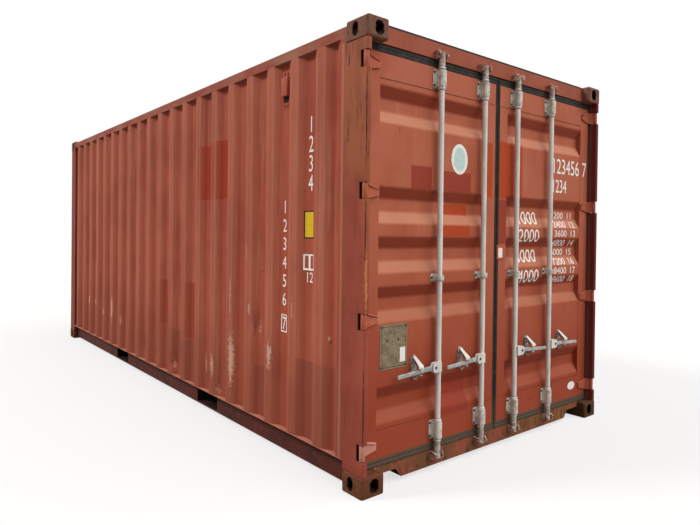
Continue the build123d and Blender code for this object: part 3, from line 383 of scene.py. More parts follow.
def stirred_place(coat, grain_mm, reach_mm):
    """The place on the piece, moved about by a cloud, so that a painted edge wanders by up to that reach."""
    tree, place = coat.tree, coat.place
    cloud = add(tree, "ShaderNodeTexNoise", {"Vector": place, "Scale": 1 / (grain_mm * mm), "Detail": 4.0})
    half, reach = [0.5] * 3, [2 * reach_mm * mm] * 3
    centred = add(tree, "ShaderNodeVectorMath", {0: cloud.outputs["Color"], 1: half}, operation="SUBTRACT")
    return add(tree, "ShaderNodeVectorMath", {0: centred.outputs[0], 1: reach, 2: place},
               operation="MULTIPLY_ADD").outputs[0]


def foot_stain(coat, over, low_mm, high_mm, strength, under=None):
    """Lays a colour over the foot of a wall, full below the low height and gone above the high one, with an
    edge stirred by a cloud."""
    split = add(coat.tree, "ShaderNodeSeparateXYZ", {0: stirred_place(coat, 160, 120)})
    mask = add(coat.tree, "ShaderNodeMapRange", {
        "Value": split.outputs[2], "From Min": high_mm * mm, "From Max": low_mm * mm, "To Max": strength},
        interpolation_type="SMOOTHSTEP")
    return coat.lay(over, mask.outputs[0], under)


# Frame paint: chalky brick red, streaked by rain and dusty on the top rails. The brown repaint is cracked
# along the grain of the brush, and ochre rust runs down the post's edge. Painted shade darkens the front
# posts, the right rear post's front and the flanks by the doors, and a painted highlight runs down the left
# rear post's fold.
coat = Coat("weathered_frame_paint", 0.7, FRAME_RED)
mottle(coat, FRAME_DEEP, 300, (0.4, 0.66), 0.8)
dusty = mottle(coat, RAIL_DUST, 110, (0.34, 0.7), 0.75, stretch=(0.25, 1, 1), seed=4.0, under=coat.colour)
repaint(coat, dusty, (-2870, -1230, 2500), (2870, 1230, 2600), 4)
brown = mottle(coat, POST_BROWN_DEEP, 120, (0.4, 0.64), stretch=(1, 1, 0.3), under=POST_BROWN)
brown = mottle(coat, POST_CRACK, 17, (0.58, 0.63), 0.9, stretch=(1, 1, 0.11), seed=1.5, under=brown)
edge_brown = repaint(coat, brown, (3016, -1226, EDGE_BROWN_FROM), (3040, -1180, 1760), 10, 0.8,
                     under=coat.colour)
brown = foot_stain(coat, brown, BROWN_FADE[1], BROWN_FADE[0], 0.95, under=edge_brown)
repaint(coat, brown, (BROWN_FROM, -1260, POST_FOOT), (3040, -1150, POST_HEAD), 12)
foot_stain(coat, FRAME_DEEP, 150, 600, 0.6)
# Painted highlight: a pale strip down the left rear post's fold.
repaint(coat, POST_FOLD_HIGHLIGHT, (2806, -1260, POST_FOOT), (2830, -1200, POST_HEAD), 6, 0.55)
repaint(coat, FRONT_SHADE, (-3040, -1260, POST_FOOT), (-2860, 1260, POST_HEAD), 12, 0.6)
repaint(coat, POST_SHADE, (2990, 1150, POST_FOOT), (3040, 1260, POST_HEAD), 6, 0.92)
for z, half_x, half_z in EDGE_SCRAPES:
    scrape(coat, EDGE_RUST, (POST_FRONT, -1214, z), (half_x, 8, half_z), 1.3, 0.85, 40)
scrape(coat, ORANGE_RUST, (POST_FRONT, -1203, 1150), (12, 11, 190), 1.9, 0.85, 20)
# Painted shade on the posts' flanks by the doors: greyish deep in the gap, dark red near the front.
for side in (-1, 1):
    inner, outer = sorted((side * 1120, side * 1186))
    for from_x, to_x, flank_shade in ((2880, FLANK_FRONT, FLANK_SHADE_GREY), (FLANK_FRONT, POST_FRONT - 4, FLANK_SHADE_RED)):
        repaint(coat, flank_shade, (from_x, inner, POST_FOOT), (to_x, outer, POST_HEAD), 8, 0.85)
mottle(coat, FRAME_RUST, 26, (0.6, 0.74), 0.75, stretch=(1, 1, 0.07), seed=5.0)
frame_paint = coat.done(25, 0.6)
dress(frame_paint, "front_posts", "front_top_rail", "top_side_rails")
eased("rear_posts", POST_ROUND, frame_paint)

# Header paint: the doors' fresher red, streaked by rain, with black sealant along the edge of the upstand.
coat = Coat("streaked_header_paint", 0.6, HEADER_RED)
mottle(coat, HEADER_DEEP, 260, (0.4, 0.66))
mottle(coat, FRAME_RUST, 30, (0.64, 0.76), 0.6, stretch=(1, 1, 0.12), seed=3.0)
repaint(coat, HEADER_SEAL, (2940, -1160, HEADER_SEAL_FROM), (2990, 1160, 2600), 3, 0.95)
header_paint = coat.done(25, 0.5)
dress(header_paint, "door_header")

# Sill paint: the same coat, ground down to rust and mud where goods and feet drag over it.
coat = Coat("scraped_sill_paint", 0.8, "#874835")
mottle(coat, "#6b442e", 120, (0.4, 0.56))
mottle(coat, "#3f2a20", 42, (0.54, 0.68), 0.8, stretch=(1, 1, 0.5), seed=2.5)
mottle(coat, "#95623f", 30, (0.58, 0.72), 0.7, seed=6.0)
rusty = mottle(coat, "#8d5b2f", 36, (0.42, 0.58), 0.85, stretch=(1, 1, 0.35), seed=9.0, under=coat.colour)
rusty = mottle(coat, "#3b2c1c", 24, (0.5, 0.62), 0.85, stretch=(1, 1, 0.3), seed=4.5, under=rusty)
repaint(coat, rusty, (2900, 180, 0), (3040, 1300, 130), 160)
scrape(coat, SILL_MUD, (2990, -1110, 112), (70, 90, 26), 1.2, 0.75, 24)
sill_paint = coat.done(16, 1.2)
dress(sill_paint, "door_sill")

# Side walls: steel sheet pressed into trapezoid waves and welded along the rails and posts. The folds are
# soft, the outside is brick red, chalked and patched after knocks, and the inside has a grey coat.
WAVE_DEPTH = 36
WAVE_PITCH = 279.4
WAVE_CREST = 72
WAVE_SLOPE = 68
WAVE_LAST = 2608
WAVE_COUNT = 20
WALL_BEND = 20
WALL_SHEET = 2
FOLD_MARK_WIDTH = 14
WALL_ROWS = 80
DENT_CLEAR = 80
SIDE_RED = "#9f4d38"
SIDE_DEEP = "#8d3f2d"
SIDE_CHALK_AND_HIGHLIGHT = "#b97c63"
SIDE_FOOT = "#803c2b"
PATCH_DEEP = "#8f2f15"
PATCH_FAINT = "#8d3922"
PATCH_PLUM = "#874332"
SCUFF_PALE_AND_HIGHLIGHT = "#c79f87"
SCUFF_DARK_AND_SHADE = "#4a2a24"
INSIDE_GREY = "#8f9088"
# Repaints on the left wall: from x, to x, from z, to z, colour
SIDE_PATCHES = (
    (925, 1236, 1677, 2107, PATCH_DEEP), (1246, 1458, 1673, 2123, PATCH_DEEP),
    (115, 339, 590, 984, PATCH_FAINT), (681, 905, 537, 997, PATCH_FAINT), (350, 576, 326, 563, PATCH_PLUM),
    (615, 918, 168, 510, PATCH_PLUM), (1833, 2017, 168, 515, PATCH_PLUM), (2367, 2767, 168, 648, PATCH_PLUM),
)
# Pale scuffs on the left wall's crests, and painted highlights beside dents and creases: middle x, middle z,
# half width, half height, strength
SIDE_SCUFFS_AND_HIGHLIGHTS = (
    (1516, 498, 34, 205, 0.8), (1508, 947, 14, 146, 0.4), (2058, 611, 32, 90, 0.8), (1216, 389, 28, 92, 0.6),
    (-2148, 581, 22, 61, 0.8), (-1881, 581, 22, 51, 0.8), (-1290, 569, 26, 150, 0.85),
    (-1573, 496, 18, 36, 0.7), (-983, 471, 18, 61, 0.4), (1295, 212, 30, 40, 0.3), (1048, 369, 18, 79, 0.4),
    (2689, 814, 12, 16, 0.6),
    (1788, 893, 16, 44, 0.5), (1750, 1290, 10, 60, 0.35), (2328, 950, 9, 80, 0.35), (-300, 330, 20, 44, 0.5),
    (440, 250, 20, 34, 0.35), (1868, 770, 14, 60, 0.45),
)
# Painted shade along creases and dents in the left wall: middle x, middle z, half width, half height
SIDE_CREASE_SHADES = (
    (-330, 300, 14, 48), (95, 320, 12, 40), (400, 276, 22, 26), (1838, 770, 12, 62), (1894, 1163, 20, 10),
    (2700, 796, 9, 14), (1190, 330, 8, 60), (660, 420, 8, 30), (-40, 286, 10, 26),
)
# Dents in the left wall: middle x, middle z, radius along x, radius along z, depth
SIDE_DENTS = (
    (1850, 782, 60, 75, 15), (1510, 480, 45, 140, 7), (-1290, 569, 50, 120, 6), (428, 270, 75, 70, 16),
    (-326, 321, 75, 75, 15), (67, 329, 60, 60, 13), (2330, 700, 60, 120, 5), (400, 1500, 120, 260, 4),
    (-1900, 1200, 140, 300, 4),
)


def over_bend(at, bend):
    """Nine places spread over a bend, for each place across a sheet."""
    return at[..., None] + np.linspace(-bend / 2, bend / 2, 9)


def off_crest(at, crest_at, pitch):
    """The way from each place to the middle of the nearest crest."""
    return np.abs((at - crest_at + pitch / 2) % pitch - pitch / 2)


def pressed_wave(at, crest_at, pitch, crest, slope, bend):
    """Share of a wave's depth at a place: 0 on the crests, 1 in the valleys and straight between them,
    averaged over the bend so that each fold is round."""
    away = off_crest(over_bend(at, bend), crest_at, pitch)
    return np.clip((away - crest / 2) / slope, 0, 1).mean(axis=-1)


def fold_places(middles, flat, slope):
    """The four folds of each wave: at the two ends of its flat and at the outer ends of its slopes."""
    return np.add.outer(middles, [-flat / 2 - slope, -flat / 2, flat / 2, flat / 2 + slope]).ravel()


def fold_stations(folds, bend, start, end):
    """Places across a pressed sheet: its two edges, and five around each fold, where the bend needs them."""
    near = np.add.outer(np.asarray(folds, float), np.linspace(-0.6, 0.6, 5) * bend).ravel()
    return np.unique(np.concatenate([near[(near > start + 1) & (near < end - 1)], [start, end]]))


def sheet_mesh(name, outside, inside, fold_mark=None, lean=None):
    """A closed sheet from two grids of points in mm: the outside's faces, the inside's turned round, and a
    strip round the rim. The inside takes the second finish. Each point keeps its fold mark, which is 1 on a
    fold that is chalky and carries a painted highlight, and its lean, which is 1 where the sheet faces
    upwards and -1 where it faces down."""
    rows, columns = outside.shape[:2]
    count = rows * columns
    index = np.arange(count).reshape(rows, columns)
    quads = np.stack([index[:-1, :-1], index[:-1, 1:], index[1:, 1:], index[1:, :-1]], axis=-1)
    quads = quads.reshape(-1, 4)
    rim = np.concatenate([index[0, :-1], index[:-1, -1], index[-1, :0:-1], index[:0:-1, 0]])
    after = np.roll(rim, -1)
    strip = np.stack([after, rim, rim + count, after + count], axis=1)
    faces = np.concatenate([quads, quads[:, ::-1] + count, strip])
    points = np.concatenate([outside, inside])
    mesh = mesh_of(name, points, faces.tolist(), 60)
    finish_index = np.zeros(len(faces), np.int32)
    finish_index[len(quads):2 * len(quads)] = 1
    mesh.polygons.foreach_set("material_index", finish_index)
    for label, values in (("fold_wear_and_highlight", fold_mark), ("sheet_lean", lean)):
        values = np.zeros(count) if values is None else values.ravel()
        kept = mesh.attributes.new(label, "FLOAT", "POINT")
        kept.data.foreach_set("value", np.tile(values, 2).astype(np.float32))
    return mesh


def fold_chalk_and_highlight(coat, over, strength):
    """Lays a chalky colour over the outer folds, where the sheet's own fold mark is high: chalky wear and a
    painted highlight.
    """
    fold_mark = add(coat.tree, "ShaderNodeAttribute", {}, attribute_name="fold_wear_and_highlight")
    mask = add(coat.tree, "ShaderNodeMath", {0: fold_mark.outputs["Fac"], 1: strength}, operation="MULTIPLY")
    coat.lay(over, mask.outputs[0])


# Wall paint: matte brick red, chalky and with a painted highlight on the folds, streaked by rain, darker at
# the foot, with squarish repaints of other reds, pale scuffs on the crests, and painted shade and painted
# highlights at the creases and dents.
coat = Coat("chalked_wall_paint", 0.7, SIDE_RED)
mottle(coat, SIDE_DEEP, 520, (0.4, 0.66), 0.85)
mottle(coat, SIDE_CHALK_AND_HIGHLIGHT, 46, (0.52, 0.74), 0.5, stretch=(1, 1, 0.04))
painted_at = stirred_place(coat, 60, 7)
for from_x, to_x, from_z, to_z, patch in SIDE_PATCHES:
    repaint(coat, patch, (from_x, -1300, from_z), (to_x, -1100, to_z), 9, 0.95, at=painted_at)
# Chalky wear and a painted highlight along the folds of the waves.
fold_chalk_and_highlight(coat, SIDE_CHALK_AND_HIGHLIGHT, 0.4)
foot_stain(coat, SIDE_FOOT, 250, 950, 0.55)
# Pale scuffs, and painted highlights beside the dents and creases.
for x, z, half_x, half_z, strength in SIDE_SCUFFS_AND_HIGHLIGHTS:
    scrape(coat, SCUFF_PALE_AND_HIGHLIGHT, (x, -1205, z), (half_x, 60, half_z), 2.4, strength, 17)
# Painted shade: dark streaks along the creases and dents.
for x, z, half_x, half_z in SIDE_CREASE_SHADES:
    scrape(coat, SCUFF_DARK_AND_SHADE, (x, -1205, z), (half_x, 60, half_z), 2.2, 0.6, 15)
mottle(coat, SCUFF_DARK_AND_SHADE, 30, (0.69, 0.76), 0.8, stretch=(1, 1, 0.5), seed=8.0)
wall_paint = coat.done(30, 0.5)

# Inside coat: grey paint rolled over the pressed sheet, dusty and scratched by pallets.
coat = Coat("rolled_inside_coat", 0.7, INSIDE_GREY)
mottle(coat, "#7a776c", 350, (0.4, 0.66))
mottle(coat, "#6a5546", 40, (0.64, 0.74), 0.7, stretch=(0.3, 1, 1), seed=3.0)
inside_coat = coat.done(20, 0.4)

wall_low, wall_high = box_mm("left_side_wall")
crest_plane = -wall_low[1]
crests = WAVE_LAST - WAVE_PITCH * np.arange(WAVE_COUNT)
wall_folds = np.append(fold_places(crests, WAVE_CREST, WAVE_SLOPE), wall_high[0] - WAVE_SLOPE)


def side_depth(x):
    """How far the wall's outside lies behind its crests at x, in mm: the wave, and a slope to the post."""
    wave = pressed_wave(x, WAVE_LAST, WAVE_PITCH, WAVE_CREST, WAVE_SLOPE, WALL_BEND)
    to_post = np.clip((wall_high[0] - over_bend(x, WALL_BEND)) / WAVE_SLOPE, 0, 1).mean(axis=-1)
    return WAVE_DEPTH * np.minimum(wave, to_post)


def dent_depth(x, z, dents):
    """How far knocks have pushed a sheet in, in mm: a sum of round hollows that fade from their middles."""
    hollow = np.zeros_like(x)
    for at_x, at_z, half_x, half_z, depth in dents:
        hollow += depth * np.exp(-((x - at_x) / half_x) ** 2 - ((z - at_z) / half_z) ** 2)
    return hollow


stations = fold_stations(wall_folds, WALL_BEND, wall_low[0], wall_high[0])
for side, sign, dents in (("left", -1, SIDE_DENTS), ("right", 1, SIDE_DENTS[6:])):
    x, z = np.meshgrid(stations, np.linspace(wall_low[2], wall_high[2], WALL_ROWS))
    clear = np.clip(np.minimum(z - wall_low[2], wall_high[2] - z) / DENT_CLEAR, 0, 1)
    depth = side_depth(x) + dent_depth(x, z, dents) * clear
    outside = np.stack([x, sign * (crest_plane - depth), z], axis=-1)
    inside = np.stack([x, sign * (crest_plane - WALL_SHEET - depth), z], axis=-1)
    fold_mark = np.exp(-((off_crest(x, WAVE_LAST, WAVE_PITCH) - WAVE_CREST / 2) / FOLD_MARK_WIDTH) ** 2)
    order = slice(None, None, -sign)
    wall = sheet_mesh(f"{side}_side_wall_pressed", outside[:, order], inside[:, order], fold_mark[:, order])
    seat(wall, [wall_paint, inside_coat], "container", "wall_paint", f"{side}_side_wall")

# Front wall: the same steel sheet pressed into fewer, deeper and steeper waves, welded between the front
# posts and painted as the sides are.
FRONT_DEPTH = 45.6
FRONT_PITCH = 250
FRONT_CREST = 110
FRONT_SLOPE = 18
FRONT_BEND = 14
FRONT_MARK_WIDTH = 8
front_low, front_high = box_mm("front_wall")
front_folds = fold_places(FRONT_PITCH * np.arange(-4, 5), FRONT_CREST, FRONT_SLOPE)
y, z = np.meshgrid(fold_stations(front_folds, FRONT_BEND, front_low[1], front_high[1])[::-1],
                   np.linspace(front_low[2], front_high[2], WALL_ROWS))
depth = FRONT_DEPTH * pressed_wave(y, 0, FRONT_PITCH, FRONT_CREST, FRONT_SLOPE, FRONT_BEND)
outside = np.stack([front_low[0] + depth, y, z], axis=-1)
inside = outside + (WALL_SHEET, 0, 0)
fold_mark = np.exp(-((off_crest(y, 0, FRONT_PITCH) - FRONT_CREST / 2) / FRONT_MARK_WIDTH) ** 2)
front = sheet_mesh("front_wall_pressed", outside, inside, fold_mark)
seat(front, [wall_paint, inside_coat], "container", "wall_paint", "front_wall")

# Roof: one thin sheet welded on the rails and stiffened by low pressed ribs across it. Rain and sun have
# chalked it most, and water stands between the ribs.
ROOF_SHEET = 2
RIB_RISE = 17
RIB_PITCH = 209
RIB_WIDTH = 125
RIB_MARGIN = 90
RIB_BEND = 14
RIB_COUNT = 27
ROOF_LINES = np.linspace(-1000, 1000, 9)
roof_low, roof_high = box_mm("roof_sheet")
rib_end = crest_plane - RIB_MARGIN
ribs = RIB_PITCH * (np.arange(RIB_COUNT) - (RIB_COUNT - 1) / 2)
rib_flat = RIB_WIDTH - 2 * RIB_RISE
rib_folds = fold_places(ribs, rib_flat, RIB_RISE)
end_folds = fold_places([0], 2 * (rib_end - RIB_RISE), RIB_RISE)
across = np.append(fold_stations(end_folds, RIB_BEND, roof_low[1], roof_high[1]), ROOF_LINES)
x, y = np.meshgrid(fold_stations(rib_folds, RIB_BEND, roof_low[0], roof_high[0]), np.unique(across))
rib_share = 1 - pressed_wave(x, 0, RIB_PITCH, rib_flat, RIB_RISE, RIB_BEND)
rib_share[np.abs(x) > ribs[-1] + RIB_PITCH / 2] = 0
end_share = np.clip((rib_end - over_bend(np.abs(y), RIB_BEND)) / RIB_RISE, 0, 1).mean(axis=-1)
share = np.minimum(rib_share, end_share)
inside = np.stack([x, y, roof_low[2] + RIB_RISE * share], axis=-1)
roof = sheet_mesh("roof_sheet_pressed", inside + (0, 0, ROOF_SHEET), inside, share * 0.5)

# Roof paint: paler and dustier than the walls, with rust where water stands.
coat = Coat("sun_chalked_roof_paint", 0.75, "#9a5443")
mottle(coat, "#8a4536", 600, (0.4, 0.66))
mottle(coat, "#b07a63", 140, (0.5, 0.7), 0.6, seed=2.0)
mottle(coat, "#5f3a28", 50, (0.62, 0.74), 0.8, seed=6.0)
fold_chalk_and_highlight(coat, "#b98670", 0.6)
roof_paint = coat.done(30, 0.6)
seat(roof, [roof_paint, inside_coat], "container", "wall_paint", "roof_sheet")

# Ventilators: pressed covers with an open foot, standing over a hole in a valley near the top of each side
# wall, on a flat flange held by two bolts above and two below.
SIDES = (("left", -1), ("right", 1))
VENT_SHEET = 2
VENT_EASE = 12
VENT_FLANGE = 36
VENT_TOP_FLANGE = 30
VENT_MOUTH = 40
VENT_RISE = 24
VENT_SIDE = 7
VENT_BOLT = (18, 9, 6)
vent_low, vent_high = box_mm("ventilators")
vent_half = (vent_high[0] - WAVE_LAST + 1.5 * WAVE_PITCH) * 0.8
valley_plane = crest_plane - WAVE_DEPTH
mouth_level = vent_low[2] + VENT_FLANGE + VENT_MOUTH
cover_top = vent_high[2]
vent_levels = np.array([vent_low[2], mouth_level - 1, mouth_level, mouth_level + 5, cover_top - VENT_EASE,
                        cover_top, cover_top + VENT_TOP_FLANGE])
for side, sign in SIDES:
    middle = -sign * (WAVE_LAST - 1.5 * WAVE_PITCH)
    x, z = np.meshgrid(middle - sign * vent_half * np.array([-1, -0.98, -0.84, 0.84, 0.98, 1]), vent_levels)
    flat_x = np.clip((vent_half * 0.98 - np.abs(x - middle)) / VENT_SIDE, 0, 1)
    flat_z = np.clip((cover_top - z) / VENT_EASE, 0, 1) * np.clip(z - mouth_level + 1, 0, 1)
    rise = VENT_SHEET + VENT_RISE * np.minimum(flat_x, flat_z)
    outside = np.stack([x, sign * (valley_plane + rise), z], axis=-1)
    inside = np.stack([x, np.full_like(x, sign * (valley_plane + 0.2)), z], axis=-1)
    cover = sheet_mesh(f"{side}_ventilator_cover", outside, inside)
    stands_for = ["ventilators"] if side == "left" else []
    seat(cover, [wall_paint, wall_paint], "container", "wall_paint", *stands_for)
    feet = [(middle + step * VENT_BOLT[0], sign * (valley_plane + VENT_SHEET), level) for step in (-1, 1)
            for level in (vent_low[2] + VENT_FLANGE / 2, cover_top + VENT_TOP_FLANGE / 2)]
    bolts = studs(f"{side}_ventilator_bolts", feet, *VENT_BOLT[1:], (0, sign, 0), 10)
    seat(bolts, [wall_paint], "container", "wall_paint")
    # Painted shade: a near black sheet stands in the hole under the cover.
    x, z = np.meshgrid(middle - sign * vent_half * np.array([-0.8, 0.8]),
                       [mouth_level - VENT_MOUTH, mouth_level - 0.5])
    hole = np.stack([x, np.full_like(x, sign * (valley_plane + 2.6)), z], axis=-1)
    mouth = sheet_mesh(f"{side}_ventilator_mouth_shade", hole, hole - (0, sign * 0.4, 0))
    seat(mouth, [pocket_shade_paint, pocket_shade_paint], "container", "wall_paint")

# Side marks: plain white figures, sprayed through a stencil down two valleys near the rear, one to a place.
# The last figure of the long row stands in a thin frame, and two empty boxes stand beside it.
MARK_LIFT = 0.5
MARK_WHITE = "#e9e4dc"
MARK_WORN = "#c49a88"
CODE_X = 2472
CODE_LEVELS = (2085, 1965, 1847, 1728)
CODE_SIZE = (46, 100)
SERIAL_X = 2189
SERIAL_LEVELS = (1590, 1470, 1353, 1232, 1115, 995, 840)
SERIAL_SIZE = (42, 82)
FIGURE_FRAME = (66, 114)
FIGURE_FRAME_LINE = 7
BOX_PAIR = (2468, 1246)
BOX_SIZE = (54, 98)
BOX_LINE = 10
BOX_FIGURES = (92, 76, 62)


def outline(text):
    """The filled outline of a line of figures in the plain font: its flat points and its mesh."""
    letters = bpy.data.curves.new("figure_outline", "FONT")
    letters.body = text
    holder = bpy.data.objects.new("figure_outline", letters)
    flat = bpy.data.meshes.new_from_object(holder)
    bpy.data.objects.remove(holder)
    return points_of(flat)[:, :2], flat


def figures(name, jobs, onto, cut_mm=0):
    """White figures as one thin mesh. Each job is a text, its middle and its size in mm on a flat drawing:
    the font's outline is filled, stretched so that as many noughts would have that size, cut by level lines
    where the sheet bends, and carried onto the sheet by a function of the drawing's two coordinates."""
    form = bmesh.new()
    for text, middle, size in jobs:
        nought, flat = outline("0" * len(text))
        low, high = nought.min(axis=0), nought.max(axis=0)
        bpy.data.meshes.remove(flat)
        points, flat = outline(text)
        points = (points - (low + high) / 2) / (high - low) * size + middle
        flat.vertices.foreach_set("co", np.column_stack([points, np.zeros(len(points))]).ravel())
        form.from_mesh(flat)
        bpy.data.meshes.remove(flat)
    if cut_mm:
        middles = np.array([middle[1] for _, middle, _ in jobs])
        halves = np.array([size[1] / 2 for _, _, size in jobs])
        for level in np.arange((middles - halves).min(), (middles + halves).max(), cut_mm):
            bmesh.ops.bisect_plane(form, geom=form.verts[:] + form.edges[:] + form.faces[:],
                                   plane_co=(0, level, 0), plane_no=(0, 1, 0))
    mesh = bpy.data.meshes.new(name)
    form.to_mesh(mesh)
    form.free()
    across, up, _ = points_of(mesh).T
    mesh.vertices.foreach_set("co", (onto(across, up) * mm).ravel())
    mesh.update()
    return mesh


def on_left_wall(x, z):
    """A drawing's place on the outside of the left wall, lifted by the coat's own thickness."""
    return np.stack([x, side_depth(x) - crest_plane - MARK_LIFT, z], axis=-1)


def paint_film(piece):
    """Gives a flat mark the thickness of its coat, outwards from the sheet."""
    film = piece.modifiers.new("coat", "SOLIDIFY")
    film.thickness = 0.3 * mm
    film.offset = 1


# Stencil paint: flat white, scratched through to the red in small spots.
coat = Coat("sprayed_stencil_paint", 0.6, MARK_WHITE)
mottle(coat, MARK_WORN, 18, (0.6, 0.72), 0.9, seed=1.0)
stencil_white = coat.done()
jobs = [(str(figure + 1), (CODE_X, level), CODE_SIZE) for figure, level in enumerate(CODE_LEVELS)]
jobs += [(str(figure + 1), (SERIAL_X, level), SERIAL_SIZE) for figure, level in enumerate(SERIAL_LEVELS)]
jobs.append(("12", (BOX_PAIR[0], BOX_PAIR[1] - BOX_FIGURES[0]), BOX_FIGURES[1:]))
side_figures = figures("side_figures", jobs, on_left_wall)
paint_film(seat(side_figures, [stencil_white], "container", "wall_paint"))


def frame_ring(outer, line, middle):
    """A thin rectangular frame on a drawing: its outer and inner corners as two rings of four points."""
    corner = np.array([(-1, -1), (1, -1), (1, 1), (-1, 1)]) / 2
    rings = np.concatenate([corner * outer, corner * (np.array(outer) - 2 * line)]) + middle
    here = np.arange(4)
    after = np.roll(here, -1)
    return rings, np.stack([here, after, after + 4, here + 4], axis=1)


for name, outer, line, middle in (
        ("side_figure_frame", FIGURE_FRAME, FIGURE_FRAME_LINE, (SERIAL_X, SERIAL_LEVELS[-1])),
        ("front_empty_box", BOX_SIZE, BOX_LINE, (BOX_PAIR[0] - BOX_SIZE[0] / 2, BOX_PAIR[1])),
        ("rear_empty_box", BOX_SIZE, BOX_LINE, (BOX_PAIR[0] + BOX_SIZE[0] / 2, BOX_PAIR[1]))):
    rings, faces = frame_ring(outer, line, middle)
    ring = mesh_of(name, on_left_wall(rings[:, 0], rings[:, 1]), faces.tolist())
    paint_film(seat(ring, [stencil_white], "container", "wall_paint"))

# Side plate: a bare yellow plate with a black border, of thin vinyl stuck in the valley beside the post and
# pressed down over the folds.
YELLOW_PLATE = (2468, 1475, 104, 170)
PLATE_BORDER = 8


def on_plate(name, middle, size, rounding, out, onto, finish, body, slot):
    """A thin stuck-on plate: a grid over its square, pulled towards an oval by the rounding (0 leaves the
    corners, 1 makes an ellipse), set on the sheet, with a back grid and a rim."""
    u, v = np.meshgrid(np.linspace(-1, 1, 25), np.linspace(-1, 1, 25))
    across = u * np.sqrt(1 - rounding * v ** 2 / 2) * size[0] / 2 + middle[0]
    up = v * np.sqrt(1 - rounding * u ** 2 / 2) * size[1] / 2 + middle[1]
    back = onto(across, up)
    mesh = sheet_mesh(name, back + np.asarray(out), back)
    return seat(mesh, [finish, finish], body, slot)


# Vinyl: smooth and evenly coloured, dulled by dust and scratched at the edges.
vinyl = {}
for name, sheet_colour, dust in (
        ("black_vinyl", "#1d1b1a", "#3b322b"), ("yellow_vinyl", "#d6ad22", "#b88d3a"),
        ("white_vinyl", "#e4e0d8", "#b8a797"), ("pale_blue_vinyl", "#b9cdc9", "#93a9a4")):
    coat = Coat(f"printed_{name}", 0.45, sheet_colour)
    mottle(coat, dust, 24, (0.56, 0.72), 0.8)
    vinyl[name] = coat.done()
on_plate("height_plate_border", YELLOW_PLATE[:2], YELLOW_PLATE[2:], 0.05, (0, -0.6, 0), on_left_wall,
         vinyl["black_vinyl"], "container", "wall_paint")
inner_plate = (YELLOW_PLATE[2] - 2 * PLATE_BORDER, YELLOW_PLATE[3] - 2 * PLATE_BORDER)
on_plate("height_plate_field", YELLOW_PLATE[:2], inner_plate, 0.05, (0, -1.2, 0), on_left_wall,
         vinyl["yellow_vinyl"], "container", "wall_paint")

# Door leaves: a frame of hollow stiles and rails, with a panel of sheet pressed into five level grooves
# welded inside it. The outside is brick red with squares of fresher paint, the inside has the grey coat.
GROOVE_LEVELS = np.array([459, 1023, 1305, 1587, 2151])
GROOVE_DEPTH = 36
GROOVE_FLOOR = 72
GROOVE_SLOPE = 67
DOOR_BEND = 16
PANEL_SHEET = 2
PANEL_COLUMNS = 13
TILT_STEP = 2
DOOR_RED = "#aa5d44"
DOOR_DEEP = "#9b4c34"
DOOR_CHALK = "#b7715a"
DOOR_FOOT = "#8a361f"
DOOR_SLOPE_SHADE = "#84341f"
DOOR_SLOPE_LIGHT = "#c28b6e"
RAIL_SEAM = "#743521"
PATCH_ORANGE = "#a63c17"
PATCH_RED = "#8c3424"
# Repaints on the doors: from y, to y, from z, to z, colour
DOOR_PATCHES = (
    (-810, -635, 1690, 1828, PATCH_RED), (-535, -268, 1690, 1815, PATCH_RED),
    (-535, -275, 1548, 1615, PATCH_ORANGE), (-535, -275, 1415, 1482, PATCH_ORANGE),
    (-110, -50, 1673, 2032, PATCH_ORANGE), (23, 290, 1673, 2057, PATCH_ORANGE),
    (23, 107, 1365, 1665, PATCH_RED), (-535, -275, 300, 560, PATCH_RED),
)
# Scratches on the doors: middle y, middle z, half width, half height
DOOR_SCRATCHES = ((-905, 2020, 3, 26), (700, 300, 5, 60), (860, 860, 4, 20), (-930, 480, 4, 40),
                  (420, 250, 40, 5), (-330, 1000, 4, 30), (930, 1460, 3, 24))


def groove_depth(z):
    """How far the panel lies behind its flats at a height, in mm: trapezoid grooves, eased over the bend."""
    nearest = np.abs(over_bend(z, DOOR_BEND)[..., None] - GROOVE_LEVELS).min(axis=-1)
    return GROOVE_DEPTH * (1 - np.clip((nearest - GROOVE_FLOOR / 2) / GROOVE_SLOPE, 0, 1)).mean(axis=-1)


def lean_tone(coat, over, towards, strength):
    """Paints light and shade by the way a slope faces: lays a colour over the slopes of a pressed sheet that
    face up for 1, or down for -1.
    """
    lean = add(coat.tree, "ShaderNodeAttribute", {}, attribute_name="sheet_lean")
    mask = add(coat.tree, "ShaderNodeMapRange", {
        "Value": lean.outputs["Fac"], "From Max": towards, "To Max": strength})
    coat.lay(over, mask.outputs[0])


# Door paint: brick red with hardly a sheen, brushed over in squares and scratched. Painted light makes the
# slopes that face up pale, and painted shade keeps those that face down a deep red. A weld seam marks each
# rail.
coat = Coat("brushed_door_paint", 0.6, DOOR_RED)
mottle(coat, DOOR_DEEP, 480, (0.42, 0.66), 0.7)
mottle(coat, DOOR_CHALK, 90, (0.54, 0.74), 0.4, stretch=(1, 1, 0.15))
# Painted light: the slopes that face up are paler.
lean_tone(coat, DOOR_SLOPE_LIGHT, 1, 0.5)
foot_stain(coat, DOOR_FOOT, 250, 1650, 0.8)
painted_at = stirred_place(coat, 60, 5)
for from_y, to_y, from_z, to_z, patch in DOOR_PATCHES:
    repaint(coat, patch, (2918, from_y, from_z), (3000, to_y, to_z), 8, 0.9, at=painted_at)
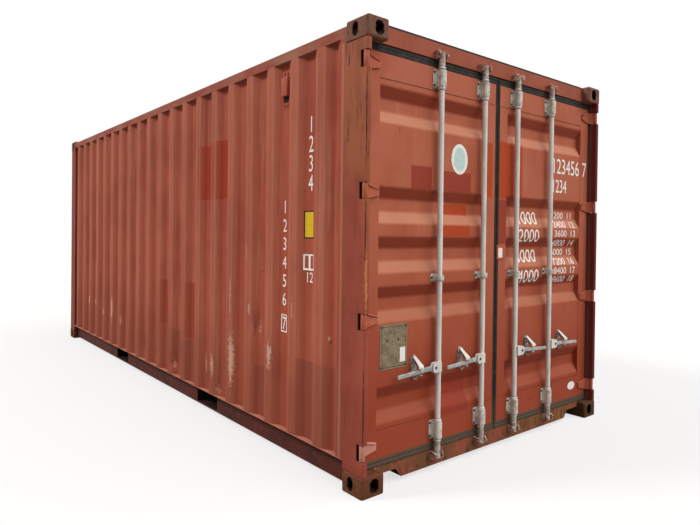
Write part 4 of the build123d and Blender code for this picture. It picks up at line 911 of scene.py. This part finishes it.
# Painted shade: the slopes that face down are a deeper red.
lean_tone(coat, DOOR_SLOPE_SHADE, -1, 0.88)
panel_low, panel_high = box_mm("left_door_panel")
for level in (panel_low[2], panel_high[2]):
    repaint(coat, RAIL_SEAM, (2940, -1066, level - 3), (2980, 1066, level + 3), 3, 0.8)
for y, z, half_y, half_z in DOOR_SCRATCHES:
    scrape(coat, "#5a3024", (2958, y, z), (40, half_y, half_z), 1.2, 0.7)
mottle(coat, "#6b3a2a", 34, (0.68, 0.76), 0.7, stretch=(1, 1, 0.4), seed=9.0)
door_paint = coat.done(26, 0.35)

panel_folds = fold_places(GROOVE_LEVELS, GROOVE_FLOOR, GROOVE_SLOPE)
for side in ("left", "right"):
    panel_low, panel_high = box_mm(f"{side}_door_panel")
    panel_face = panel_high[0]
    y, z = np.meshgrid(np.linspace(panel_low[1], panel_high[1], PANEL_COLUMNS),
                       fold_stations(panel_folds, DOOR_BEND, panel_low[2], panel_high[2]))
    outside = np.stack([panel_face - groove_depth(z), y, z], axis=-1)
    tilt = (groove_depth(z + TILT_STEP) - groove_depth(z - TILT_STEP)) / (2 * TILT_STEP)
    panel = sheet_mesh(f"{side}_door_panel_pressed", outside, outside - (PANEL_SHEET, 0, 0),
                       lean=tilt * GROOVE_SLOPE / GROOVE_DEPTH)
    seat(panel, [door_paint, inside_coat], f"{side}_door", "wall_paint", f"{side}_door_panel")
    dress(door_paint, f"{side}_door_stiles", f"{side}_door_rails")
dress(door_paint, "overlap_plate")

# Door gaskets: rings of black rubber round each leaf, extruded with two lips and mitred at the corners.
# The top keeps its black, and road dust has browned the foot.
GASKET_LIP = 3
LIP_PROUD = 2
LIP_OVER = (3, 6)
LIP_STEPS = 17

# Extruded rubber: near black and half dull, browned by dust from the foot upwards.
coat = Coat("extruded_door_rubber", 0.8, "#2b2927")
mottle(coat, "#3a3530", 80, (0.45, 0.65))
foot_stain(coat, "#54473a", 150, 420, 0.9)
mottle(coat, "#6f5e4c", 30, (0.64, 0.74), 0.6, seed=4.0)
rubber = coat.done(12, 0.3)


def looped_faces(index):
    """The faces of a grid of point numbers that closes on itself along its last two directions."""
    on = np.roll(index, -1, axis=-2)
    quads = np.stack([index, on, np.roll(on, -1, axis=-1), np.roll(index, -1, axis=-1)], axis=-1)
    return quads.reshape(-1, 4).tolist()


# A gasket's profile runs from the leaf's edge outwards over two lips and back along its rear face; each of
# its points is a ring of four corners between the leaf's box and the gasket's.
share = np.concatenate([np.linspace(0, 1, LIP_STEPS), [1, 0]])
lips = GASKET_LIP * np.abs(np.sin(2 * math.pi * share)) ** 0.6 - GASKET_LIP
for side in ("left", "right"):
    leaf = box_mm(f"{side}_door_stiles")
    seal = box_mm(f"{side}_door_gasket")
    x = np.where(np.arange(share.size) < LIP_STEPS, seal[1][0] + LIP_PROUD + lips, seal[0][0])
    seal[0][2] -= LIP_OVER[0]
    seal[1][2] += LIP_OVER[1]
    inner, outer = (np.array([(low[1], low[2]), (high[1], low[2]), (high[1], high[2]), (low[1], high[2])])
                    for low, high in (leaf, seal))
    ring = inner + share[:, None, None] * (outer - inner)
    points = np.concatenate([np.broadcast_to(x[:, None, None], (share.size, 4, 1)), ring], axis=-1)
    faces = looped_faces(np.arange(share.size * 4).reshape(share.size, 4))
    gasket = mesh_of(f"{side}_door_gasket_lips", points, faces, 50)
    seat(gasket, [rubber], f"{side}_door", "gasket_rubber", f"{side}_door_gasket")

# Hinges: forged blades welded to the leaf, each with a knuckle that turns on a pin between two lugs in a
# notch of the rear post. Painted with the doors, and chipped where they rub.
HINGE_ROUND = 3
HINGE_COUNT = 4
KNUCKLE_HEIGHT = 84
BLADE_FACE = 2970
BLADE_RIB = 7
# Rib of a blade: from and to, as distances from the middle line and above the hinge's own level
BLADE_RIB_FROM = (1146, 35)
BLADE_RIB_TO = (1074, 15)
# Forged steel under chipped paint: dull red, paler where it is rubbed and dark in the chips.
coat = Coat("chipped_hinge_paint", 0.62, "#a5563e")
mottle(coat, "#b36f57", 60, (0.55, 0.75), 0.6)
mottle(coat, "#5e3a2c", 24, (0.58, 0.7), 0.8, seed=7.0)
repaint(coat, "#bb8b78", (2900, -1260, 120), (3040, -1000, 330), 30, 0.55)
hinge_paint = coat.done(12, 0.8)
for side in ("left", "right"):
    eased(f"{side}_door_hinges", HINGE_ROUND, hinge_paint)
    low, high = box_mm(f"{side}_door_hinges")
    levels = np.linspace(low[2] + KNUCKLE_HEIGHT / 2, high[2] - KNUCKLE_HEIGHT / 2, HINGE_COUNT)
    (from_y, from_z), (to_y, to_z) = BLADE_RIB_FROM, BLADE_RIB_TO
    along = np.array((0, np.sign(low[1]) * (to_y - from_y), to_z - from_z))
    length = np.linalg.norm(along)
    feet = [(BLADE_FACE, np.sign(low[1]) * from_y, level + from_z) for level in levels]
    blade_ribs = studs(f"{side}_hinge_ribs", feet, BLADE_RIB, length, along / length, 12, 50)
    seat(blade_ribs, [hinge_paint], f"{side}_door", "wall_paint")

# Hinge pins and lugs: turned steel pins, each held between two plates welded into a notch of the post.
# Bare greased steel: black, half bright, brown where the grease has dried.
coat = Coat("greased_pin_steel", 0.5, "#2b2522", metallic=0.6)
mottle(coat, "#4a382d", 20, (0.45, 0.62))
greased_steel = coat.done()
dress(greased_steel, "hinge_pins")

# Keepers: forged jaws welded to the header and the sill, which take the cams of the locking bars. Red paint
# covers the zinc, and the cams have rubbed it off inside.
KEEPER_ROUND = 2.5
# Forged steel with rubbed paint: pale and pinkish where zinc and red paint meet, dark in the hollows.
coat = Coat("rubbed_keeper_paint", 0.6, "#a87560")
mottle(coat, "#c3ac9c", 22, (0.44, 0.56))
mottle(coat, "#3f2a22", 13, (0.5, 0.58), 0.85, seed=2.0)
keeper_paint = coat.done(10, 0.8)
for level in ("header", "sill"):
    eased(f"{level}_keepers", KEEPER_ROUND, keeper_paint)

# Locking gear: upright steel bars in bolted brackets, with a forged cam at each end and a flat handle in a
# forked hub, all dipped in zinc. The zinc has dulled to a pale matte grey, and painted shade darkens the
# retainers.
ZINC_PALE = "#d5d1c9"
ZINC_DULL = "#c4bfb6"
ZINC_DARK = "#857c72"
GEAR_PALE = "#c8c1b5"
GEAR_DULL = "#a69d91"
GEAR_DIRT = "#6a5d50"
CAM_PALE = "#bdb6ac"
CAM_DULL = "#9c8d80"
CAM_PINK = "#a97a66"
CAM_DIRT_AND_SHADE = "#3d2e26"
HANDLE_PALE = "#aaa8a6"
HANDLE_DULL = "#8b8783"
PART_LINE = "#3b342e"
BAR_Y = {"outer": 594, "inner": 179}
BRACKET_LEVELS = (2360, 247)
BRACKET_HALF = 56.5
BRACKET_ROUND = 2.2
RETAINER_ROUND = 1.5
HANDLE_ROUND = 2.5
COLLAR = (22, 13)
BAR_X = 2993

# Hot-dipped zinc, weathered: a pale grey oxide with no mirror left, only soft gloss and cloudy spangle.
coat = Coat("weathered_dipped_zinc", 0.55, ZINC_PALE, gloss=0.4)
mottle(coat, ZINC_DULL, 60, (0.42, 0.62), stretch=(1, 1, 0.3))
mottle(coat, ZINC_DARK, 16, (0.64, 0.74), 0.6, seed=3.0)
for level in BRACKET_LEVELS:
    for end in (level - BRACKET_HALF - COLLAR[1], level + BRACKET_HALF + COLLAR[1]):
        repaint(coat, PART_LINE, (2940, -700, end - 2), (3050, 700, end + 2), 2, 0.8)
bar_zinc = coat.done(10, 0.25)

# The same zinc on the brackets and retainers, browned by dirt, with painted shade mottled over the
# retainers.
coat = Coat("dirty_and_shaded_dipped_zinc", 0.6, GEAR_PALE, gloss=0.4)
mottle(coat, GEAR_DULL, 45, (0.42, 0.62))
mottle(coat, GEAR_DIRT, 18, (0.58, 0.7), 0.75, seed=5.0)
# Painted shade: dark mottling over the retainers and seal rings at the handles' height.
retainer_shade = mottle(coat, CAM_DIRT_AND_SHADE, 15, (0.42, 0.56), 0.85, seed=2.0, under=coat.colour)
repaint(coat, retainer_shade, (2940, -900, 560), (3060, 900, 740), 4)
gear_zinc = coat.done(8, 0.4)

# The same zinc on the handles, rubbed by hands to a bluish grey.
coat = Coat("rubbed_handle_zinc", 0.45, HANDLE_PALE, gloss=0.4)
mottle(coat, HANDLE_DULL, 40, (0.42, 0.6))
mottle(coat, CAM_DIRT_AND_SHADE, 14, (0.6, 0.7), 0.7, seed=8.0)
handle_zinc = coat.done()

# The same zinc on the cams, rubbed by the keepers and overpainted pinkish at the top.
coat = Coat("rubbed_cam_zinc", 0.55, CAM_PALE, gloss=0.4)
mottle(coat, CAM_DULL, 30, (0.42, 0.6))
repaint(coat, CAM_PINK, (2900, -700, 2478), (3100, 700, 2600), 10, 0.75)
mottle(coat, CAM_DIRT_AND_SHADE, 11, (0.53, 0.61), 0.85, seed=6.0)
cam_zinc = coat.done()
for side in ("left", "right"):
    eased(f"{side}_door_bar_brackets", BRACKET_ROUND, gear_zinc)
    eased(f"{side}_door_handle_retainers", RETAINER_ROUND, gear_zinc)
    for bar in ("outer", "inner"):
        dress(bar_zinc, f"{side}_{bar}_bar")
        dress(cam_zinc, f"{side}_{bar}_cams")
        eased(f"{side}_{bar}_handle", HANDLE_ROUND, handle_zinc)

# Catch flaps and seal rings: on each retainer a bent flap of plate lies over the catch, just above the
# handle, and a forged ring for a seal hangs under the handle's rest. Both are dipped in zinc with it.
RETAINER_AT = 180
FLAP_LINE = ((2967, 706.5), (2996, 683), (3023, 661), (3026.4, 656.5), (3026.4, 646.5))
FLAP_HALF = (11, 14, 19, 20, 20)
FLAP_SHEET = 2.4
RING_PLACE = (2976, 588)
RING_RADIUS = 13
RING_WIRE = 4.2


def flap_mesh(name, at_y):
    """A bent flap: a line seen from the side, carried across by a half width that grows towards the foot.
    The outside is the line moved along its own normal by the sheet's thickness."""
    line = np.array(FLAP_LINE, float)
    along = np.gradient(line, axis=0)
    normal = np.stack([-along[:, 1], along[:, 0]], axis=1) / np.linalg.norm(along, axis=1)[:, None]
    across = np.linspace(1, -1, 5) * np.array(FLAP_HALF, float)[:, None] + at_y
    back, face = (np.stack([np.broadcast_to(edge[:, :1], across.shape), across,
                            np.broadcast_to(edge[:, 1:], across.shape)], axis=-1)
                  for edge in (line, line + FLAP_SHEET * normal))
    return sheet_mesh(name, face, back)


def seal_rings(name, middles):
    """Round rings in one mesh: a small circle carried round a large one in the upright plane across the
    doors, repeated at each middle."""
    turn, wire = np.meshgrid(np.arange(20) * 2 * math.pi / 20, np.arange(8) * 2 * math.pi / 8, indexing="ij")
    reach = RING_RADIUS + RING_WIRE * np.cos(wire)
    ring = np.stack([RING_WIRE * np.sin(wire), reach * np.cos(turn), reach * np.sin(turn)], axis=-1)
    points = np.asarray(middles, float)[:, None, None, :] + ring
    return mesh_of(name, points, looped_faces(np.arange(points.size // 3).reshape(points.shape[:3])), 180)


for side, sign in SIDES:
    for bar, y in BAR_Y.items():
        flap = flap_mesh(f"{side}_{bar}_catch_flap", sign * (y + RETAINER_AT))
        seat(flap, [bar_zinc, bar_zinc], f"{side}_door", "zinc_steel")
    middles = [(RING_PLACE[0], sign * (y + RETAINER_AT), RING_PLACE[1]) for y in BAR_Y.values()]
    seat(seal_rings(f"{side}_door_seal_rings", middles), [gear_zinc], f"{side}_door", "zinc_steel")

# Collars: rings of steel welded on each bar above and below its end brackets, so that it can't slide, and
# dipped in zinc with the bar.
for side, sign in SIDES:
    for bar, y in BAR_Y.items():
        for way, step in (("upper", 1), ("lower", -1)):
            ends = [(BAR_X, sign * y, level + step * (BRACKET_HALF + 1)) for level in BRACKET_LEVELS]
            collars = studs(f"{side}_{bar}_{way}_collars", ends, *COLLAR, (0, 0, step), 24, 30)
            seat(collars, [bar_zinc], f"{side}_{bar}_locking_bar", "zinc_steel")

# Bolts of the gear: round heads of dark steel, four through each end bracket, two through each strap and
# retainer, and a pin through each hub.
BOLT_RADIUS = 8
BOLT_RISE = 5
PIN_HEAD = (9, 4)
BRACKET_BOLT = (38, 40)
STRAP_BOLT = 38
RETAINER_BOLTS = (70, -34)
STRAP_LEVEL = 1164
BRACKET_SEAT = 2966
STRAP_SEAT = 2964
HANDLE_LEVEL = 632
HUB_FRONT = 3022.5
PIN_AT = 50
# Oily steel: small dark spots with a dull shine.
coat = Coat("oily_bolt_steel", 0.5, "#3c352f", metallic=0.5)
mottle(coat, "#5a4635", 9, (0.45, 0.62))
dark_bolt = coat.done()
for side, sign in SIDES:
    feet = []
    for y in BAR_Y.values():
        feet += [(BRACKET_SEAT, sign * y + across * BRACKET_BOLT[0], level + up * BRACKET_BOLT[1])
                 for level in BRACKET_LEVELS for across in (-1, 1) for up in (-1, 1)]
        feet += [(STRAP_SEAT, sign * y + across * STRAP_BOLT, STRAP_LEVEL) for across in (-1, 1)]
        feet += [(STRAP_SEAT, sign * (y + RETAINER_AT), HANDLE_LEVEL + up) for up in RETAINER_BOLTS]
    bolts = studs(f"{side}_door_bolts", feet, BOLT_RADIUS, BOLT_RISE, (1, 0, 0), 12)
    seat(bolts, [dark_bolt], f"{side}_door", "zinc_steel")
    for bar, y in BAR_Y.items():
        foot = (HUB_FRONT, sign * (y + PIN_AT), HANDLE_LEVEL)
        pin = studs(f"{side}_{bar}_hub_pin", [foot], *PIN_HEAD, (1, 0, 0), 16)
        seat(pin, [dark_bolt], f"{side}_{bar}_locking_bar", "zinc_steel")

# Data plate: a sheet of etched aluminium riveted to the left leaf, left blank and gone brown. A blank white
# sticker is stuck on it.
PLATE_CELL = 26
PLATE_LINE = (9, 13)
PLATE_BROWN = "#877860"
PLATE_DULL = "#74664f"
PLATE_DIRT = "#4f4438"
PLATE_SPOT = "#3f352b"
PLATE_RIVET = (7, 3)
RIVET_INSET = 12
RIVET_PAIR = ((-985, 820), (-897, 820))
plate_low, plate_high = box_mm("data_plate")

# Etched aluminium gone dull: brownish grey, with a net of fine dark lines where dirt fills the etching.
coat = Coat("etched_plate_aluminium", 0.6, PLATE_BROWN, metallic=0.3)
plain = mottle(coat, PLATE_DULL, 50, (0.42, 0.62))
net = add(coat.tree, "ShaderNodeTexVoronoi", {
    "Vector": stirred_place(coat, 20, 8), "Scale": 1 / (PLATE_CELL * mm)}, feature="DISTANCE_TO_EDGE")
fine_line = add(coat.tree, "ShaderNodeMapRange", {
    "Value": net.outputs["Distance"], "From Min": 0.07, "From Max": 0.02, "To Max": 0.55})
field = coat.lay(PLATE_DIRT, fine_line.outputs[0], under=plain)
outer_line, inner_line = (np.array((-10, inset, inset)) for inset in PLATE_LINE)
repaint(coat, PLATE_DIRT, plate_low + outer_line, plate_high - outer_line, 1)
repaint(coat, field, plate_low + inner_line, plate_high - inner_line, 1)
mottle(coat, PLATE_SPOT, 12, (0.62, 0.72), 0.8, seed=2.0)
dress(coat.done(), "data_plate")
corners = [(y, z) for y in (plate_low[1] + RIVET_INSET, plate_high[1] - RIVET_INSET)
           for z in (plate_low[2] + RIVET_INSET, plate_high[2] - RIVET_INSET)]
feet = [(plate_high[0], y, z) for y, z in (*RIVET_PAIR, *corners)]
rivets = studs("data_plate_rivets", feet, *PLATE_RIVET, (1, 0, 0), 12)
seat(rivets, [dark_bolt], "left_door", "zinc_steel")


def on_face(x):
    """The way onto a flat face of the doors at that x: a drawing's two coordinates become y and z."""
    return lambda y, z: np.stack([np.full_like(y, x), y, z], axis=-1)


on_plate("data_plate_sticker", (-863, 731), (43, 83), 0.02, (0.5, 0, 0), on_face(plate_high[0]),
         vinyl["white_vinyl"], "left_door", "plate_aluminium")

# Door stickers: a bare oval with a pale field on the left leaf, a small disc low on the right leaf and a
# blank tag on the plate over the seam, all of thin vinyl.
STILE_FACE = 2960


def on_panel(y, z):
    """A drawing's place on the outside of a door panel, lifted by the coat's own thickness."""
    return np.stack([panel_face - groove_depth(z) + MARK_LIFT, y, z], axis=-1)


on_stile = on_face(STILE_FACE + MARK_LIFT)
on_overlap = on_face(box_mm("overlap_plate")[1][0])
for name, side, middle, size, rounding, rise, onto, sheet in (
        ("oval_sticker", "left", (-382, 1898), (155, 190), 1.0, 0.5, on_panel, "white_vinyl"),
        ("oval_sticker_field", "left", (-382, 1898), (108, 146), 1.0, 0.9, on_panel, "pale_blue_vinyl"),
        ("disc_sticker", "right", (972, 259), (100, 62), 1.0, 0.5, on_stile, "white_vinyl"),
        ("seam_tag", "right", (40, 1306), (44, 66), 0.1, 0.5, on_overlap, "white_vinyl")):
    on_plate(name, middle, size, rounding, (rise, 0, 0), onto, vinyl[sheet], f"{side}_door", "wall_paint")

# Door marks: rows of plain white figures sprayed through a stencil on the right leaf, two large rows above
# and a block of smaller rows that run down over the grooves.
LARGE_ROW = (1948, 112)
SMALL_ROW = (1798, 98)
BLOCK_LEVELS = (1550, 1424, 1278, 1134)
COLUMN_LEVELS = (1580, 1511, 1443, 1371, 1302, 1231, 1162, 1096)
jobs = [("123456", (855, LARGE_ROW[0]), (380, LARGE_ROW[1])),
        ("1234", (765, SMALL_ROW[0]), (200, SMALL_ROW[1]))]
jobs += [(str(1000 * (row + 1)), (385, level), (250, 90)) for row, level in enumerate(BLOCK_LEVELS)]
jobs += [(str(1200 * (row + 1)), (795, level), (170, 48)) for row, level in enumerate(COLUMN_LEVELS)]
jobs += [(str(row + 11), (965, level), (80, 48)) for row, level in enumerate(COLUMN_LEVELS)]
door_figures = figures("door_figures", jobs, on_panel, cut_mm=9)
paint_film(seat(door_figures, [stencil_white], "right_door", "wall_paint"))
last_figure = figures("door_last_figure", [("7", (1118, LARGE_ROW[0]), (58, LARGE_ROW[1]))], on_stile)
paint_film(seat(last_figure, [stencil_white], "right_door", "wall_paint"))

# Stage: a pale floor that runs out to a white surround, with soft light from the left, the right and above.
# The floor gives little light back, as the open ground under such a piece does.
bpy.context.scene.view_settings.view_transform = "Standard"
FLOOR_HALF = 60000
FLOOR_GREY = "#7d7b78"
FLOOR_GLOW = 0.68
AMBIENT = 0.32
corners = np.array([(-1, -1, 0), (1, -1, 0), (1, 1, 0), (-1, 1, 0)]) * FLOOR_HALF
floor_mesh = mesh_of("studio_floor", corners, [(0, 1, 2, 3)])
floor = bpy.data.objects.new("studio_floor", floor_mesh)
bpy.context.scene.collection.objects.link(floor)


def seen_directly(tree, dark, bright):
    """The dark value for light that falls on the piece, and the bright one for what the camera, a mirror or
    clear glass sees."""
    path = add(tree, "ShaderNodeLightPath", {})
    seen = path.outputs["Is Camera Ray"]
    for way in ("Is Glossy Ray", "Is Transmission Ray"):
        seen = add(tree, "ShaderNodeMath", {0: seen, 1: path.outputs[way]}, operation="MAXIMUM").outputs[0]
    return add(tree, "ShaderNodeMapRange", {"Value": seen, "To Min": dark, "To Max": bright}).outputs[0]


# Matte paint: one even grey, which the camera sees lifted to near white.
coat = Coat("matte_studio_floor", 0.9, FLOOR_GREY)
coat.shader.inputs["Base Color"].default_value = linear(FLOOR_GREY)
coat.shader.inputs["Emission Color"].default_value = (1, 1, 1, 1)
coat.tree.links.new(seen_directly(coat.tree, 0.0, FLOOR_GLOW), coat.shader.inputs["Emission Strength"])
floor_mesh.materials.append(coat.finish)

world = bpy.data.worlds.new("studio_surround")
bpy.context.scene.world = world
world.use_nodes = True
tree = world.node_tree
tree.links.new(seen_directly(tree, AMBIENT, 1.0), tree.nodes["Background"].inputs["Strength"])
tree.nodes["Background"].inputs["Color"].default_value = (1, 1, 1, 1)

# Softboxes: a narrow one that draws the side wall's folds and a broad one on the doors. Each has the way to
# it, its strength and its spread in degrees.
SOFTBOXES = {
    "left_softbox": ((-0.45, -0.75, 0.80), 2.7, 16),
    "right_softbox": ((0.62, 0.28, 0.78), 3.2, 70),
}
for name, (towards, strength, spread) in SOFTBOXES.items():
    lamp = bpy.data.lights.new(name, "SUN")
    lamp.energy = strength
    lamp.angle = math.radians(spread)
    holder = bpy.data.objects.new(name, lamp)
    holder.rotation_mode = "QUATERNION"
    holder.rotation_quaternion = Vector(towards).to_track_quat("Z", "Y")
    bpy.context.scene.collection.objects.link(holder)

# Camera: stands off the corner between the left wall and the doors, a little above half height. Its shift
# is that of the photograph's framing.
CAMERA_PLACE = (5.34862, -3.19904, 1.42500)
CAMERA_RIGHT = Vector((0.63524, 0.77222, 0.01191))
CAMERA_UP = Vector((-0.01534, -0.0028, 0.99988))
CAMERA_BACK = Vector((0.77216, -0.63535, 0.01007))
camera_data = bpy.data.cameras.new("camera")
camera_data.sensor_width = 36
camera_data.lens = 29.68
camera_data.shift_x = -0.0062
camera_data.shift_y = -0.0333
camera = bpy.data.objects.new("camera", camera_data)
bpy.context.scene.collection.objects.link(camera)
camera.rotation_mode = "QUATERNION"
camera.rotation_quaternion = Matrix((CAMERA_RIGHT, CAMERA_UP, CAMERA_BACK)).transposed().to_quaternion()
camera.location = CAMERA_PLACE
bpy.context.scene.camera = camera
